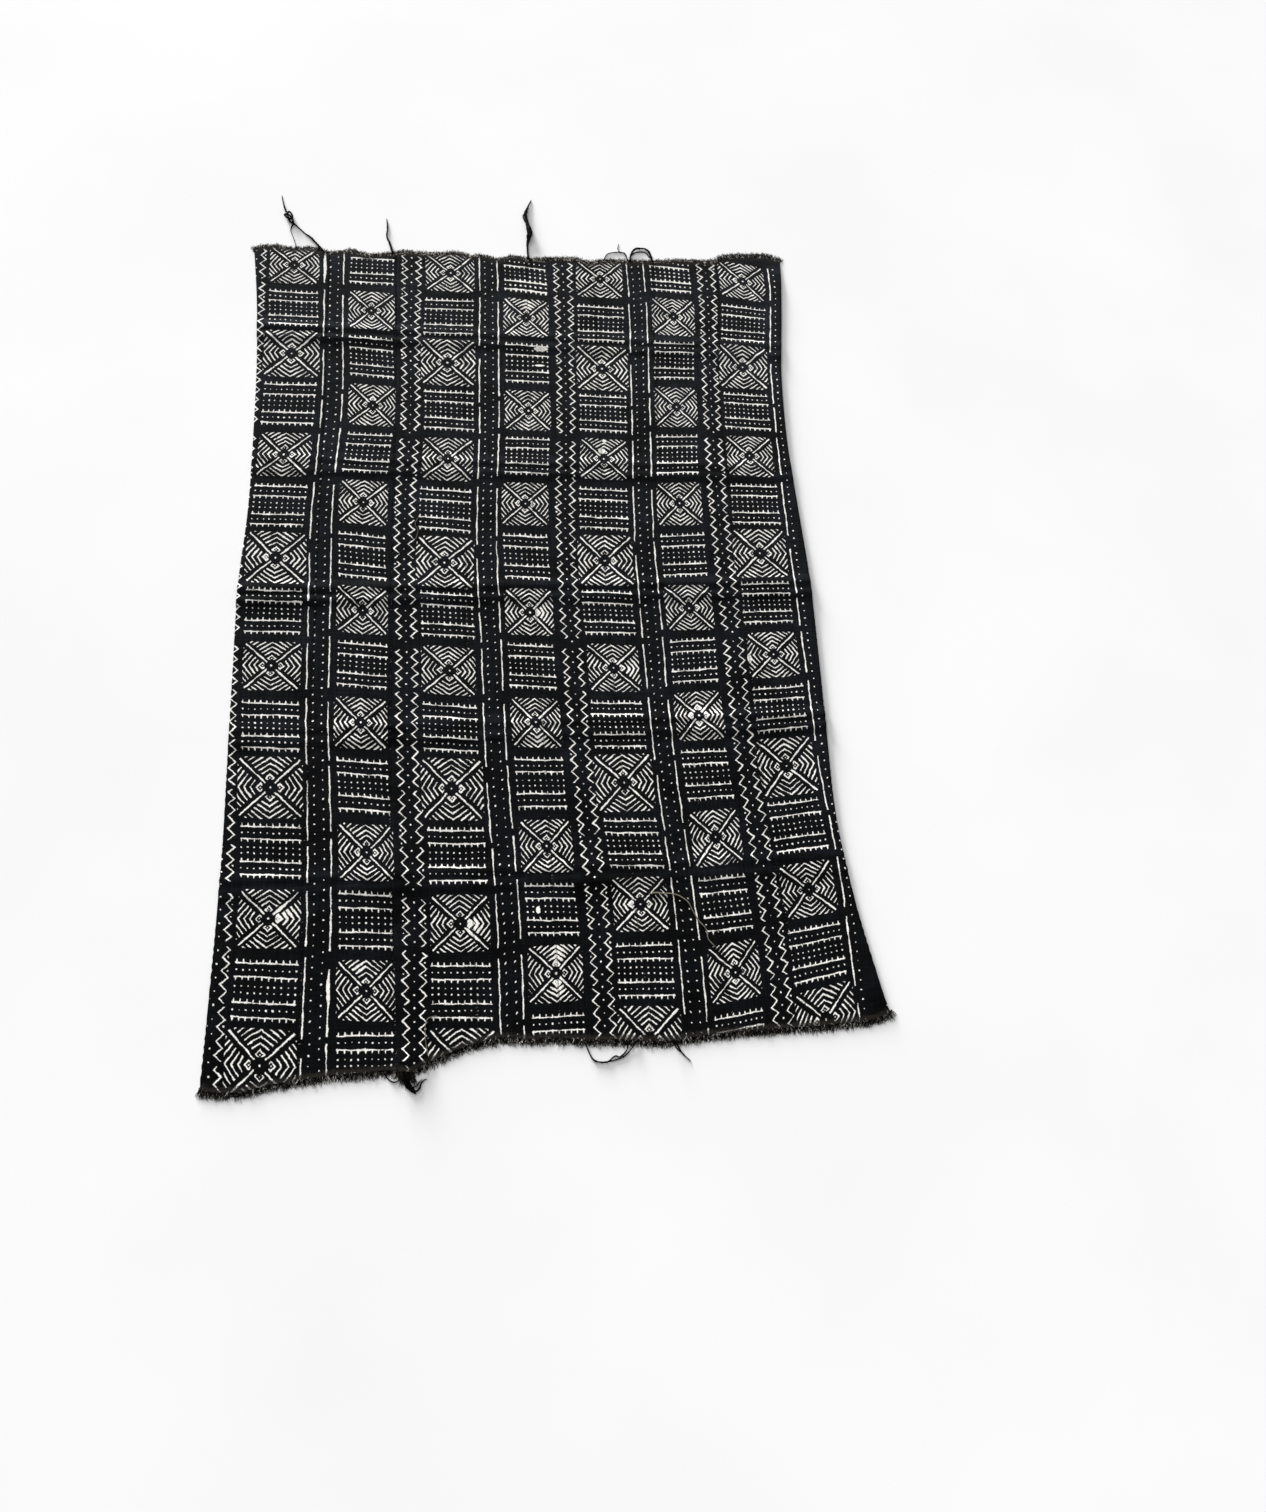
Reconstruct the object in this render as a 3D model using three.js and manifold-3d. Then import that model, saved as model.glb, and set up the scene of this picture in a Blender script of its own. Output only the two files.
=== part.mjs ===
// Mud cloth: eight handwoven cotton strips whipped together edge to edge, laid flat, with frayed cut ends.
// Millimetres. X runs across the strips, Y along them to the end with the knotted threads, Z up from the floor.
import * as THREE from "three";
import Module from "manifold-3d";
import { mergeVertices } from "three/addons/utils/BufferGeometryUtils.js";

const wasm = await Module();
wasm.setup();

// Driving sizes
const CLOTH = { thick: 2.0, seamGap: 0.3, columns: 3 };
const FRAY = { backing: 3.0, thick: 1.5, tipThick: 0.9, pitch: 10, root: 6.0, tip: 3.2, lean: 1.6, ragged: 2.0 };
const FRAY_DEPTH = { top: 13, topRight: 17, bottom: 11 };
const FOLD = { groove: 0.25, shoulder: 9, foot: 26, between: 3 };
const SELVAGE_CURL = { height: 3.5, calmEnd: 60 };
const CRUMPLE = { x: -222, y: -772, radius: 34, height: 7, row: 22 };
const STRAND_HEIGHT = 1.3; // of a strand's half width

// The tables below are measured from the middle motif column. This is the middle of the whole outline there.
const ORIGIN = { x: 16.3, y: 94.3 };

// Where the selvages and the seven seams run, one row for each height up the cloth
const EDGES = [
  { y: -820, left: -548, s1: -398, s2: -246, s3: -118, s4: 16, s5: 168, s6: 308, s7: 440, right: 597 },
  { y: -700, left: -543, s1: -399, s2: -251, s3: -120, s4: 15, s5: 163, s6: 302, s7: 430, right: 570 },
  { y: -560, left: -538, s1: -400, s2: -257, s3: -123, s4: 13, s5: 154, s6: 291, s7: 414, right: 546 },
  { y: -400, left: -534, s1: -401, s2: -260, s3: -126, s4: 11, s5: 149, s6: 281, s7: 401, right: 531 },
  { y: -240, left: -534, s1: -399, s2: -261, s3: -126, s4: 8, s5: 145, s6: 275, s7: 404, right: 534 },
  { y: -80, left: -534, s1: -396, s2: -261, s3: -124, s4: 5, s5: 140, s6: 267, s7: 403, right: 539 },
  { y: 80, left: -533, s1: -396, s2: -260, s3: -124, s4: 5, s5: 139, s6: 267, s7: 403, right: 542 },
  { y: 240, left: -523, s1: -394, s2: -258, s3: -124, s4: 6, s5: 142, s6: 269, s7: 402, right: 538 },
  { y: 400, left: -521, s1: -392, s2: -256, s3: -121, s4: 9, s5: 149, s6: 267, s7: 400, right: 534 },
  { y: 560, left: -522, s1: -391, s2: -255, s3: -119, s4: 12, s5: 152, s6: 272, s7: 407, right: 541 },
  { y: 720, left: -529, s1: -390, s2: -255, s3: -121, s4: 14, s5: 155, s6: 281, s7: 420, right: 560 },
  { y: 880, left: -541, s1: -389, s2: -257, s3: -120, s4: 15, s5: 160, s6: 291, s7: 432, right: 575 },
];
const LINES = ["left", "s1", "s2", "s3", "s4", "s5", "s6", "s7", "right"];

// How far the frayed fibres reach at the two cut ends
const TOP_TIPS = [
  { x: -541, y: 853 }, { x: -525, y: 861 }, { x: -495, y: 865 }, { x: -470, y: 858 }, { x: -430, y: 862 },
  { x: -385, y: 850 }, { x: -348, y: 860 }, { x: -310, y: 847 }, { x: -265, y: 856 }, { x: -240, y: 862 },
  { x: -190, y: 858 }, { x: -130, y: 864 }, { x: -95, y: 854 }, { x: -80, y: 860 }, { x: -40, y: 848 },
  { x: -15, y: 861 }, { x: 20, y: 853 }, { x: 60, y: 858 }, { x: 125, y: 860 }, { x: 150, y: 850 },
  { x: 182, y: 858 }, { x: 285, y: 859 }, { x: 345, y: 867 }, { x: 400, y: 865 }, { x: 432, y: 868 },
];
const TOP_RIGHT_TIPS = [
  { x: 431, y: 874 }, { x: 450, y: 883 }, { x: 492, y: 889 }, { x: 545, y: 890 }, { x: 575, y: 877 },
];
const BOTTOM_TIPS = [
  { x: -548, y: -797 }, { x: -525, y: -804 }, { x: -484, y: -806 }, { x: -440, y: -798 }, { x: -358, y: -791 },
  { x: -265, y: -789 }, { x: -225, y: -794 }, { x: -190, y: -778 }, { x: -131, y: -758 }, { x: -81, y: -751 },
  { x: -40, y: -757 }, { x: 10, y: -758 }, { x: 55, y: -764 }, { x: 120, y: -768 }, { x: 179, y: -775 },
  { x: 247, y: -771 }, { x: 316, y: -768 }, { x: 455, y: -768 }, { x: 551, y: -764 }, { x: 587, y: -752 },
];

// Storage folds: their height at the two selvages, and how high their shoulders stand at left, middle and right
const FOLDS = [
  { left: -474, right: -480, lift: [2.5, 3.0, 2.5] },
  { left: -212, right: -209, lift: [2.0, 2.5, 4.0] },
  { left: 60, right: 66, lift: [4.5, 3.0, 3.5] },
  { left: 335, right: 326, lift: [2.0, 3.0, 2.0] },
  { left: 643, right: 623, lift: [4.5, 2.5, 2.5] },
];

// Loose warp threads on the floor, each from its root in the frayed rim: place and half width
const TOP_THREADS = {
  knotted: [
    { x: -403, y: 848, r: 1.8 }, { x: -425, y: 876, r: 2.0 }, { x: -452, y: 903, r: 1.6 },
    { x: -464, y: 914, r: 4.0 }, { x: -473, y: 930, r: 6.0 }, { x: -482, y: 948, r: 3.4 },
    { x: -487, y: 968, r: 1.4 }, { x: -490, y: 988, r: 0.9 },
  ],
  knotStub: [{ x: -463, y: 918, r: 2.2 }, { x: -467, y: 907, r: 1.8 }, { x: -468, y: 898, r: 0.9 }],
  single: [
    { x: -262, y: 848, r: 3.0 }, { x: -268, y: 872, r: 2.6 }, { x: -274, y: 890, r: 1.5 },
    { x: -273, y: 915, r: 1.5 }, { x: -275, y: 938, r: 0.9 },
  ],
  bunch: [
    { x: 20, y: 846, r: 3.2 }, { x: 19, y: 868, r: 2.2 }, { x: 20, y: 888, r: 3.2 }, { x: 24, y: 905, r: 5.6 },
    { x: 23, y: 925, r: 5.0 }, { x: 20, y: 948, r: 3.4 }, { x: 18, y: 964, r: 3.8 }, { x: 24, y: 985, r: 2.2 },
    { x: 32, y: 1006, r: 1.0 },
  ],
  lowLoop: [
    { x: 181, y: 850, r: 1.6 }, { x: 190, y: 866, r: 1.5 }, { x: 206, y: 872, r: 1.5 }, { x: 222, y: 873, r: 1.4 },
    { x: 230, y: 867, r: 1.6 }, { x: 233, y: 852, r: 1.6 },
  ],
  highLoop: [
    { x: 238, y: 852, r: 2.4 }, { x: 243, y: 870, r: 2.2 }, { x: 252, y: 882, r: 2.6 }, { x: 264, y: 885, r: 2.0 },
    { x: 277, y: 883, r: 2.0 }, { x: 283, y: 872, r: 2.6 }, { x: 288, y: 852, r: 2.4 },
  ],
};
const BOTTOM_THREADS = {
  bunchedCorner: [
    { x: -243, y: -785, r: 4.0 }, { x: -240, y: -793, r: 6.0 }, { x: -228, y: -807, r: 4.6 },
    { x: -217, y: -816, r: 2.2 },
  ],
  bunchedTail: [{ x: -222, y: -785.5, r: 3.6 }, { x: -217, y: -798, r: 3.4 }, { x: -204, y: -798, r: 1.2 }],
  loop: [
    { x: 58, y: -756, r: 1.4 }, { x: 63, y: -775, r: 1.3 }, { x: 74, y: -787, r: 1.4 }, { x: 90, y: -790, r: 1.4 },
    { x: 110, y: -787, r: 1.5 }, { x: 124, y: -778, r: 1.4 }, { x: 136, y: -762, r: 1.4 },
  ],
  tail: [{ x: 203, y: -768, r: 2.4 }, { x: 213, y: -784, r: 1.5 }, { x: 227, y: -799, r: 0.8 }],
};

// Interpolation and chance
const noise = (i, salt) => {
  const s = Math.sin(i * 12.9898 + salt * 78.233) * 43758.5453;
  return 2 * (s - Math.floor(s)) - 1;
};

// A smooth curve through the rows of EDGES
function edgeX(name, y) {
  const step = EDGES.findIndex((row, i) => i > 0 && row.y >= y);
  const i = step < 0 ? EDGES.length - 1 : step;
  const at = (k) => EDGES[Math.min(Math.max(k, 0), EDGES.length - 1)];
  const [a, b] = [at(i - 1), at(i)];
  const t = (y - a.y) / (b.y - a.y);
  const m0 = (b[name] - at(i - 2)[name]) / 2;
  const m1 = (at(i + 1)[name] - a[name]) / 2;
  const [t2, t3] = [t * t, t * t * t];
  return (2 * t3 - 3 * t2 + 1) * a[name] + (t3 - 2 * t2 + t) * m0 + (3 * t2 - 2 * t3) * b[name] + (t3 - t2) * m1;
}

function tipY(tips, x) {
  const i = Math.max(1, tips.findIndex((p, k) => k > 0 && p.x >= x));
  const [a, b] = x > tips.at(-1).x ? tips.slice(-2) : [tips[i - 1], tips[i]];
  return a.y + ((b.y - a.y) * (x - a.x)) / (b.x - a.x);
}

// The end of the weave itself, where the frayed rim starts
function endY(strip, x, top) {
  if (!top) return tipY(BOTTOM_TIPS, x) + FRAY_DEPTH.bottom;
  const last = strip === LINES.length - 1;
  return tipY(last ? TOP_RIGHT_TIPS : TOP_TIPS, x) - (last ? FRAY_DEPTH.topRight : FRAY_DEPTH.top);
}

// Heights up the cloth at which a strip's mesh has a row, with how much of each fold's lift it gets
function rowsOf(bottom, top, x) {
  const across = (x - EDGES[5].left) / (EDGES[5].right - EDGES[5].left);
  const folds = FOLDS.map((fold) => {
    const y = fold.left + (fold.right - fold.left) * across;
    const [l, m, r] = fold.lift;
    return { y, lift: across < 0.5 ? l + (m - l) * across * 2 : m + (r - m) * (across * 2 - 1) };
  });
  const rows = [{ y: bottom, z: 0 }, { y: bottom + CRUMPLE.row, z: 0 }];
  const fill = (to) => {
    const from = rows.at(-1).y;
    for (let k = 1; k <= FOLD.between; k += 1) {
      rows.push({ y: from + ((to - from) * k) / (FOLD.between + 1), z: 0 });
    }
  };
  for (const { y, lift } of folds) {
    fill(y - FOLD.foot);
    rows.push({ y: y - FOLD.foot, z: 0 });
    rows.push({ y: y - FOLD.shoulder, z: lift });
    rows.push({ y, z: lift * FOLD.groove });
    rows.push({ y: y + FOLD.shoulder, z: lift });
    rows.push({ y: y + FOLD.foot, z: 0 });
  }
  fill(top);
  rows.push({ y: top, z: 0 });
  return rows;
}

// The right selvage stands a little off the floor, and the weave is crumpled above the bunched corner
function extraLift(x, y, outer, bottom, top) {
  const calm = Math.min(1, (y - bottom) / SELVAGE_CURL.calmEnd, (top - y) / SELVAGE_CURL.calmEnd);
  const curl = outer ? SELVAGE_CURL.height * Math.max(0, calm) : 0;
  const off = Math.hypot(x - CRUMPLE.x, y - CRUMPLE.y) / CRUMPLE.radius;
  return curl + (off < 1 ? CRUMPLE.height * (1 - off * off) : 0);
}

// One strip's points: rows from the bottom end to the top one, each from its left edge to its right one
function stripPoints(strip) {
  const [leftLine, rightLine] = [LINES[strip - 1], LINES[strip]];
  const inset = CLOTH.seamGap / 2;
  const xAt = (share, y) => {
    const left = edgeX(leftLine, y) + inset;
    const right = edgeX(rightLine, y) - inset;
    return left + (right - left) * share;
  };
  const columns = [];
  for (let c = 0; c <= CLOTH.columns; c += 1) {
    const share = c / CLOTH.columns;
    const bottom = endY(strip, xAt(share, BOTTOM_TIPS[0].y), false);
    const top = endY(strip, xAt(share, TOP_TIPS[0].y), true);
    const outer = rightLine === "right" && c === CLOTH.columns;
    columns.push(
      rowsOf(bottom, top, xAt(share, 0)).map(({ y, z }) => {
        const x = xAt(share, y);
        return new THREE.Vector3(x, y, z + extraLift(x, y, outer, bottom, top));
      }),
    );
  }
  return columns[0].map((_, r) => columns.map((column) => column[r]));
}

// A closed sheet of even thickness over a grid of points
function sheetGeometry(grid, thick) {
  const [rows, cols] = [grid.length, grid[0].length];
  const places = [];
  for (const lift of [thick, 0]) {
    for (const row of grid) row.forEach((p) => places.push(p.x, p.y, p.z + lift));
  }
  const index = [];
  const at = (r, c, under) => (under ? rows * cols : 0) + r * cols + c;
  const quad = (a, b, c, d) => index.push(a, b, c, a, c, d);
  for (let r = 0; r < rows - 1; r += 1) {
    for (let c = 0; c < cols - 1; c += 1) {
      quad(at(r, c), at(r, c + 1), at(r + 1, c + 1), at(r + 1, c));
      quad(at(r, c, true), at(r + 1, c, true), at(r + 1, c + 1, true), at(r, c + 1, true));
    }
    quad(at(r, 0), at(r + 1, 0), at(r + 1, 0, true), at(r, 0, true));
    quad(at(r + 1, cols - 1), at(r, cols - 1), at(r, cols - 1, true), at(r + 1, cols - 1, true));
  }
  for (let c = 0; c < cols - 1; c += 1) {
    quad(at(0, c + 1), at(0, c), at(0, c, true), at(0, c + 1, true));
    quad(at(rows - 1, c), at(rows - 1, c + 1), at(rows - 1, c + 1, true), at(rows - 1, c, true));
  }
  const geometry = new THREE.BufferGeometry();
  geometry.setAttribute("position", new THREE.Float32BufferAttribute(places, 3));
  geometry.setIndex(index);
  return geometry;
}

// A frayed rim: a narrow strip of weave parted from the cloth's end, with locks of loose warp all along it
function rimGeometry(ends, tips, way) {
  const inner = ends.map((p) => new THREE.Vector2(p.x, p.y + way * CLOTH.seamGap));
  const innerY = (x) => tipY(inner, x) + way * FRAY.backing;
  const [first, last] = [inner[0].x, inner.at(-1).x];
  const count = Math.round((last - first) / FRAY.pitch);
  const pitch = (last - first) / count;
  const outer = [new THREE.Vector2(first, innerY(first))];
  for (let i = 0; i < count; i += 1) {
    const x = first + pitch * (i + 0.5);
    const lean = FRAY.lean * noise(i, 1 + way);
    const reach = tipY(tips, x) + FRAY.ragged * noise(i, 5 + way);
    const [root, tip] = [FRAY.root / 2, (FRAY.tip / 2) * (1 + 0.3 * noise(i, 9))];
    outer.push(new THREE.Vector2(x - root, innerY(x - root)));
    outer.push(new THREE.Vector2(x - tip + lean, reach));
    outer.push(new THREE.Vector2(x + tip + lean, reach - way * 0.6));
    outer.push(new THREE.Vector2(x + root, innerY(x + root)));
  }
  outer.push(new THREE.Vector2(last, innerY(last)));
  const shape = new THREE.Shape([...inner, ...outer.reverse()]);
  const geometry = new THREE.ExtrudeGeometry(shape, { depth: FRAY.thick, bevelEnabled: false });
  const place = geometry.attributes.position;
  for (let i = 0; i < place.count; i += 1) {
    const past = way * (place.getY(i) - innerY(place.getX(i)));
    if (place.getZ(i) > 0 && past > 1) place.setZ(i, FRAY.tipThick);
  }
  return geometry;
}

// A loose thread: a four-sided strand with a flat underside that lies on the floor
function strandGeometry(rows) {
  const places = [];
  const index = [];
  rows.forEach((row, i) => {
    const [a, b] = [rows[Math.max(i - 1, 0)], rows[Math.min(i + 1, rows.length - 1)]];
    const along = new THREE.Vector2(b.x - a.x, b.y - a.y).normalize();
    const [sx, sy] = [along.y * row.r, -along.x * row.r];
    const top = row.r * STRAND_HEIGHT;
    places.push(row.x - sx, row.y - sy, 0, row.x + sx, row.y + sy, 0);
    places.push(row.x + sx * 0.6, row.y + sy * 0.6, top, row.x - sx * 0.6, row.y - sy * 0.6, top);
  });
  for (let i = 0; i < rows.length - 1; i += 1) {
    for (let k = 0; k < 4; k += 1) {
      const [a, b] = [i * 4 + k, i * 4 + ((k + 1) % 4)];
      index.push(a, b + 4, b, a, a + 4, b + 4);
    }
  }
  const end = (rows.length - 1) * 4;
  index.push(0, 1, 2, 0, 2, 3, end, end + 2, end + 1, end, end + 3, end + 2);
  const geometry = new THREE.BufferGeometry();
  geometry.setAttribute("position", new THREE.Float32BufferAttribute(places, 3));
  geometry.setIndex(index);
  return geometry;
}

function solid(geometry) {
  const bare = geometry.clone();
  bare.deleteAttribute("normal");
  bare.deleteAttribute("uv");
  const merged = mergeVertices(bare, 1e-4);
  const vertProperties = new Float32Array(merged.attributes.position.array);
  const triVerts = new Uint32Array(merged.index.array);
  return new wasm.Manifold(new wasm.Mesh({ numProp: 3, vertProperties, triVerts }));
}

function fused(geometries) {
  const whole = geometries.map(solid).reduce((a, b) => a.add(b));
  const { vertProperties, triVerts } = whole.getMesh();
  const geometry = new THREE.BufferGeometry();
  geometry.setAttribute("position", new THREE.BufferAttribute(new Float32Array(vertProperties), 3));
  geometry.setIndex(new THREE.BufferAttribute(new Uint32Array(triVerts), 1));
  return geometry;
}

// Pieces
const dyedCotton = () => new THREE.MeshStandardMaterial({ color: "#1a1b20", roughness: 0.95, metalness: 0 });
const frayedCotton = () => new THREE.MeshStandardMaterial({ color: "#3b3835", roughness: 1, metalness: 0 });

const cloth = new THREE.Group();
cloth.position.set(-ORIGIN.x, -ORIGIN.y, 0);

const add = (name, geometry, material) => {
  geometry.computeVertexNormals();
  const mesh = new THREE.Mesh(geometry, material);
  mesh.name = name;
  cloth.add(mesh);
};

const grids = [];
for (let strip = 1; strip < LINES.length; strip += 1) {
  const grid = stripPoints(strip);
  grids.push(grid);
  add(`strip_${strip}`, sheetGeometry(grid, CLOTH.thick), dyedCotton());
}

const ends = (from, to, row) => grids.slice(from, to).flatMap((grid) => grid.at(row));
const strands = (threads) => Object.values(threads).map(strandGeometry);
add("fray_top", fused([rimGeometry(ends(0, 7, -1), TOP_TIPS, 1), ...strands(TOP_THREADS)]), frayedCotton());
add("fray_top_right", rimGeometry(ends(7, 8, -1), TOP_RIGHT_TIPS, 1), frayedCotton());
add("fray_bottom", fused([rimGeometry(ends(0, 8, 0), BOTTOM_TIPS, -1), ...strands(BOTTOM_THREADS)]), frayedCotton());

export default cloth;
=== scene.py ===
"""Mud cloth: eight handwoven cotton strips whipped edge to edge, dyed near black round cream figures.

The cloth lies flat on a pale floor. Sizes are in millimetres unless a name ends in _m, and the tables are
measured from the middle column of figures, as in the part's own source. Blender's objects are in metres.
"""
import math
from functools import partial, reduce

import bpy
import numpy as np
from mathutils import Matrix, Vector


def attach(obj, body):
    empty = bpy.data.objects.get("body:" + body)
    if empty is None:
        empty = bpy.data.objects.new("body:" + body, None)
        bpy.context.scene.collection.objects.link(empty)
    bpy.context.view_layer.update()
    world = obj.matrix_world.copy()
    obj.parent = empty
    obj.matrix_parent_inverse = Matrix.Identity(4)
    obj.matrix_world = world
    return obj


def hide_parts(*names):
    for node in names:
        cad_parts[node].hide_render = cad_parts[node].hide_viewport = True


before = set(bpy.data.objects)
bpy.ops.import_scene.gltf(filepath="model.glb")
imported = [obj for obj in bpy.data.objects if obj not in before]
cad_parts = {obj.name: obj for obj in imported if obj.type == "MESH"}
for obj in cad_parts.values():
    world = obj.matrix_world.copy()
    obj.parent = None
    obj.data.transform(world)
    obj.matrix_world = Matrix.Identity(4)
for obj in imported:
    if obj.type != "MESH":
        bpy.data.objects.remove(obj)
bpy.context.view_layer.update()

MM = 0.001

# Sizes
ORIGIN = np.array([16.3, 94.3])
CLOTH = {"thick": 2.0, "seam_gap": 0.3, "bottom": -790.0, "top": 860.0, "calm_top": 855}
STRIP_SIZE = (137.0, 1650.0)
# Spacing of the mesh, and where its columns crowd together at the two selvages, as shares of the width
GRID = {"columns": 18, "row": 4.0, "fine_row": 2.0, "fine_reach": 14.0, "crowded": (0.01, 0.025, 0.975, 0.99)}
FRAY_DEPTH = {"top": 13, "top_right": 17, "bottom": 11}
# The last pair is how far from a crease its painted shade stays full and where it fades out
FOLD = {"groove": 0.55, "shoulder": 12.0, "foot": 30.0, "crease_shade": (1, 7)}
SELVAGE = {"curl": 3.5, "curl_width": 46, "calm_end": 60.0, "pucker": 0.5, "pucker_width": 3.0}
# How deep the two outer selvages are drawn in, how worn they are at these heights, and how far the right one
# lags behind the left one
SCALLOP = {"deep": 1.6, "heights": (-800, -200, 300), "worn": (1.0, 0.6, 0.1), "lag": 31}
CRUMPLE = {"x": -222, "y": -772, "radius": 34, "height": 7}
RIPPLE = {"height": 1.1, "wave_x": 95.0, "wave_y": 61.0, "bend": 1.3, "bend_wave": 190}
# Places in the unwrapped square: four runs of the upper side, the underside, and four bands for the rims
UV = {
    "runs": 4, "run_width": 0.235, "margin": 0.005, "length": 0.99, "under": 0.82, "under_height": 0.08,
    "rims": 0.92, "rim_step": 0.02, "rim_height": 0.012,
}

# Where the selvages and the seven seams run, one row for each height up the cloth
LINES = ("left", "s1", "s2", "s3", "s4", "s5", "s6", "s7", "right")
EDGE_HEIGHTS = np.array([-820, -700, -560, -400, -240, -80, 80, 240, 400, 560, 720, 880], float)
EDGE_PLACES = np.array([
    (-548, -398, -246, -118, 16, 168, 308, 440, 597),
    (-543, -399, -251, -120, 15, 163, 302, 430, 570),
    (-538, -400, -257, -123, 13, 154, 291, 414, 546),
    (-534, -401, -260, -126, 11, 149, 281, 401, 531),
    (-534, -399, -261, -126, 8, 145, 275, 404, 534),
    (-534, -396, -261, -124, 5, 140, 267, 403, 539),
    (-533, -396, -260, -124, 5, 139, 267, 403, 542),
    (-523, -394, -258, -124, 6, 142, 269, 402, 538),
    (-521, -392, -256, -121, 9, 149, 267, 400, 534),
    (-522, -391, -255, -119, 12, 152, 272, 407, 541),
    (-529, -390, -255, -121, 14, 155, 281, 420, 560),
    (-541, -389, -257, -120, 15, 160, 291, 432, 575),
], float)

# How far the frayed fibres reach at the two cut ends: x, y
TOP_TIPS = np.array([
    (-541, 853), (-525, 861), (-495, 865), (-470, 858), (-430, 862), (-385, 850), (-348, 860), (-310, 847),
    (-265, 856), (-240, 862), (-190, 858), (-130, 864), (-95, 854), (-80, 860), (-40, 848), (-15, 861),
    (20, 853), (60, 858), (125, 860), (150, 850), (182, 858), (285, 859), (345, 867), (400, 865), (432, 868),
], float)
TOP_RIGHT_TIPS = np.array([(431, 874), (450, 883), (492, 889), (545, 890), (575, 877)], float)
BOTTOM_TIPS = np.array([
    (-548, -797), (-525, -804), (-484, -806), (-440, -798), (-358, -791), (-265, -789), (-225, -794),
    (-190, -778), (-131, -758), (-81, -751), (-40, -757), (10, -758), (55, -764), (120, -768), (179, -775),
    (247, -771), (316, -768), (455, -768), (551, -764), (587, -752),
], float)

# Storage folds: height at the two selvages, and how high their shoulders stand at left, middle and right
FOLDS = (
    {"left": -474, "right": -480, "lift": (1.6, 1.8, 1.5)},
    {"left": -212, "right": -209, "lift": (1.6, 2.0, 3.2)},
    {"left": 60, "right": 66, "lift": (3.6, 2.4, 2.8)},
    {"left": 335, "right": 326, "lift": (1.6, 2.2, 1.6)},
    {"left": 643, "right": 623, "lift": (3.6, 1.9, 2.0)},
)
# How much shade is painted into each fold's crease along it: x, strength
CREASE_SHADES = (
    ((-540, 0.1), (-410, 0.1), (-390, 0.2), (-120, 0.2), (60, 0.1), (250, 0.2), (540, 0.2)),
    ((-540, 0.2), (-280, 0.3), (-260, 0.7), (-170, 0.7), (-100, 0.2), (330, 0.3), (400, 0.8), (540, 0.9)),
    ((-540, 1.0), (-360, 1.0), (-300, 0.7), (-40, 0.9), (60, 0.6), (150, 0.3), (330, 0.8), (540, 0.5)),
    ((-540, 0.4), (-420, 0.8), (-390, 0.3), (-270, 0.3), (-250, 0.8), (-110, 0.8), (-60, 0.3), (50, 0.7),
     (150, 0.3), (540, 0.4)),
    ((-540, 1.0), (-400, 1.0), (-330, 0.3), (-250, 0.6), (-100, 0.6), (0, 0.2), (230, 0.7), (330, 0.2),
     (540, 0.2)),
)

# Where the figures are painted. Columns stand 153 mm apart and crosses 223.3 mm apart down a column.
PITCH = {"column": 153.0, "row": 223.3, "top": 800.0, "blend": (0.36, 0.64)}
# The middle of each cross, from the top one down, for the seven columns
CROSS_X = (
    (-458, -456, -461, -470, -469, -461, -455, -459),
    (-304, -299, -315, -310, -311, -299, -298),
    (-144, -152, -155, -164, -156, -155, -144),
    (10, 6, -7, -7, -6, 6, 13),
    (171, 160, 151, 139, 143, 149, 162),
    (321, 310, 297, 297, 295, 305, 317),
    (483, 460, 452, 450, 451, 451, 464),
)
CROSS_Y = (
    (806, 588, 355, 135, -81, -304, -528, -757),
    (698, 471, 252, 26, -191, -424, -653),
    (800, 575, 350, 124, -96, -319, -553),
    (692, 464, 250, 19, -199, -428, -644),
    (797, 569, 352, 126, -96, -319, -537),
    (705, 479, 251, 25, -194, -425, -660),
    (805, 580, 363, 140, -75, -296, -525),
)
# How much the weft tilts in each column, in degrees, up to the right, at these heights
TILT_HEIGHTS = (-720, -530, -310, -85, 130, 355, 580, 800)
TILTS = (
    (-7, -5, -3.5, -3.5, -3, -2, -1, -1),
    (-3.5, -4, -5, -7, -7, -4, -4, -2),
    (-2.5, -3, -4, -6, -6, -3, -1, -1),
    (-1, -2.5, -2.6, -4, -2, -1.5, -1.6, -6),
    (-4.7, -2, -0.7, -1.5, -1.8, -3, -2.3, -2.3),
    (6, 4.4, 2, 2, 1.3, 1.5, -2, -4),
    (11, 6, 4.5, 1.5, -1.5, -3, -2, -9),
)
# Darker patches of the ground, and slips of the brush that widened a stroke: x, y, half width, half height,
# amount
# The patches are deeper dye, except the last, which is painted shade over the crumple's wrinkles
DARK_PATCHES = (
    (-257, -217, 26, 22, 1.0), (-252, -531, 22, 22, 0.8), (-198, -527, 22, 20, 0.8), (-297, -533, 20, 16, 0.6),
    (-370, -533, 30, 18, 0.6), (62, -513, 24, 22, 1.0), (110, -516, 26, 24, 1.0), (-215, -760, 36, 50, 0.7),
)
WIDE_STROKES = (
    (-398, 805, 12, 36, 1.9), (-357, -648, 8, 26, 2.6), (20, 770, 60, 40, 0.7), (330, 800, 50, 45, 0.6),
    (-432, -520, 16, 20, 1.7), (-122, -562, 16, 20, 1.5), (16, -614, 13, 24, 1.5), (14, -664, 13, 24, 1.5),
    (3, -234, 14, 12, 1.3), (178, -97, 12, 26, 0.8), (14, 20, 18, 26, 1.2), (300, -195, 42, 38, 0.4),
    (280, -446, 18, 16, 1.1), (13, 722, 12, 16, 1.3), (-310, -616, 14, 10, 1.4), (142, -536, 12, 16, 1.1),
)
# Drops of bleach that ran: x, y, half width, half height
BLOTS = (
    (149, 371, 7, 6), (37, 613, 14, 5.5), (33, 573, 10, 2.5), (-14, -537, 3.5, 6), (155, 394, 4, 3),
    (403, -82, 4, 9),
)


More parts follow.
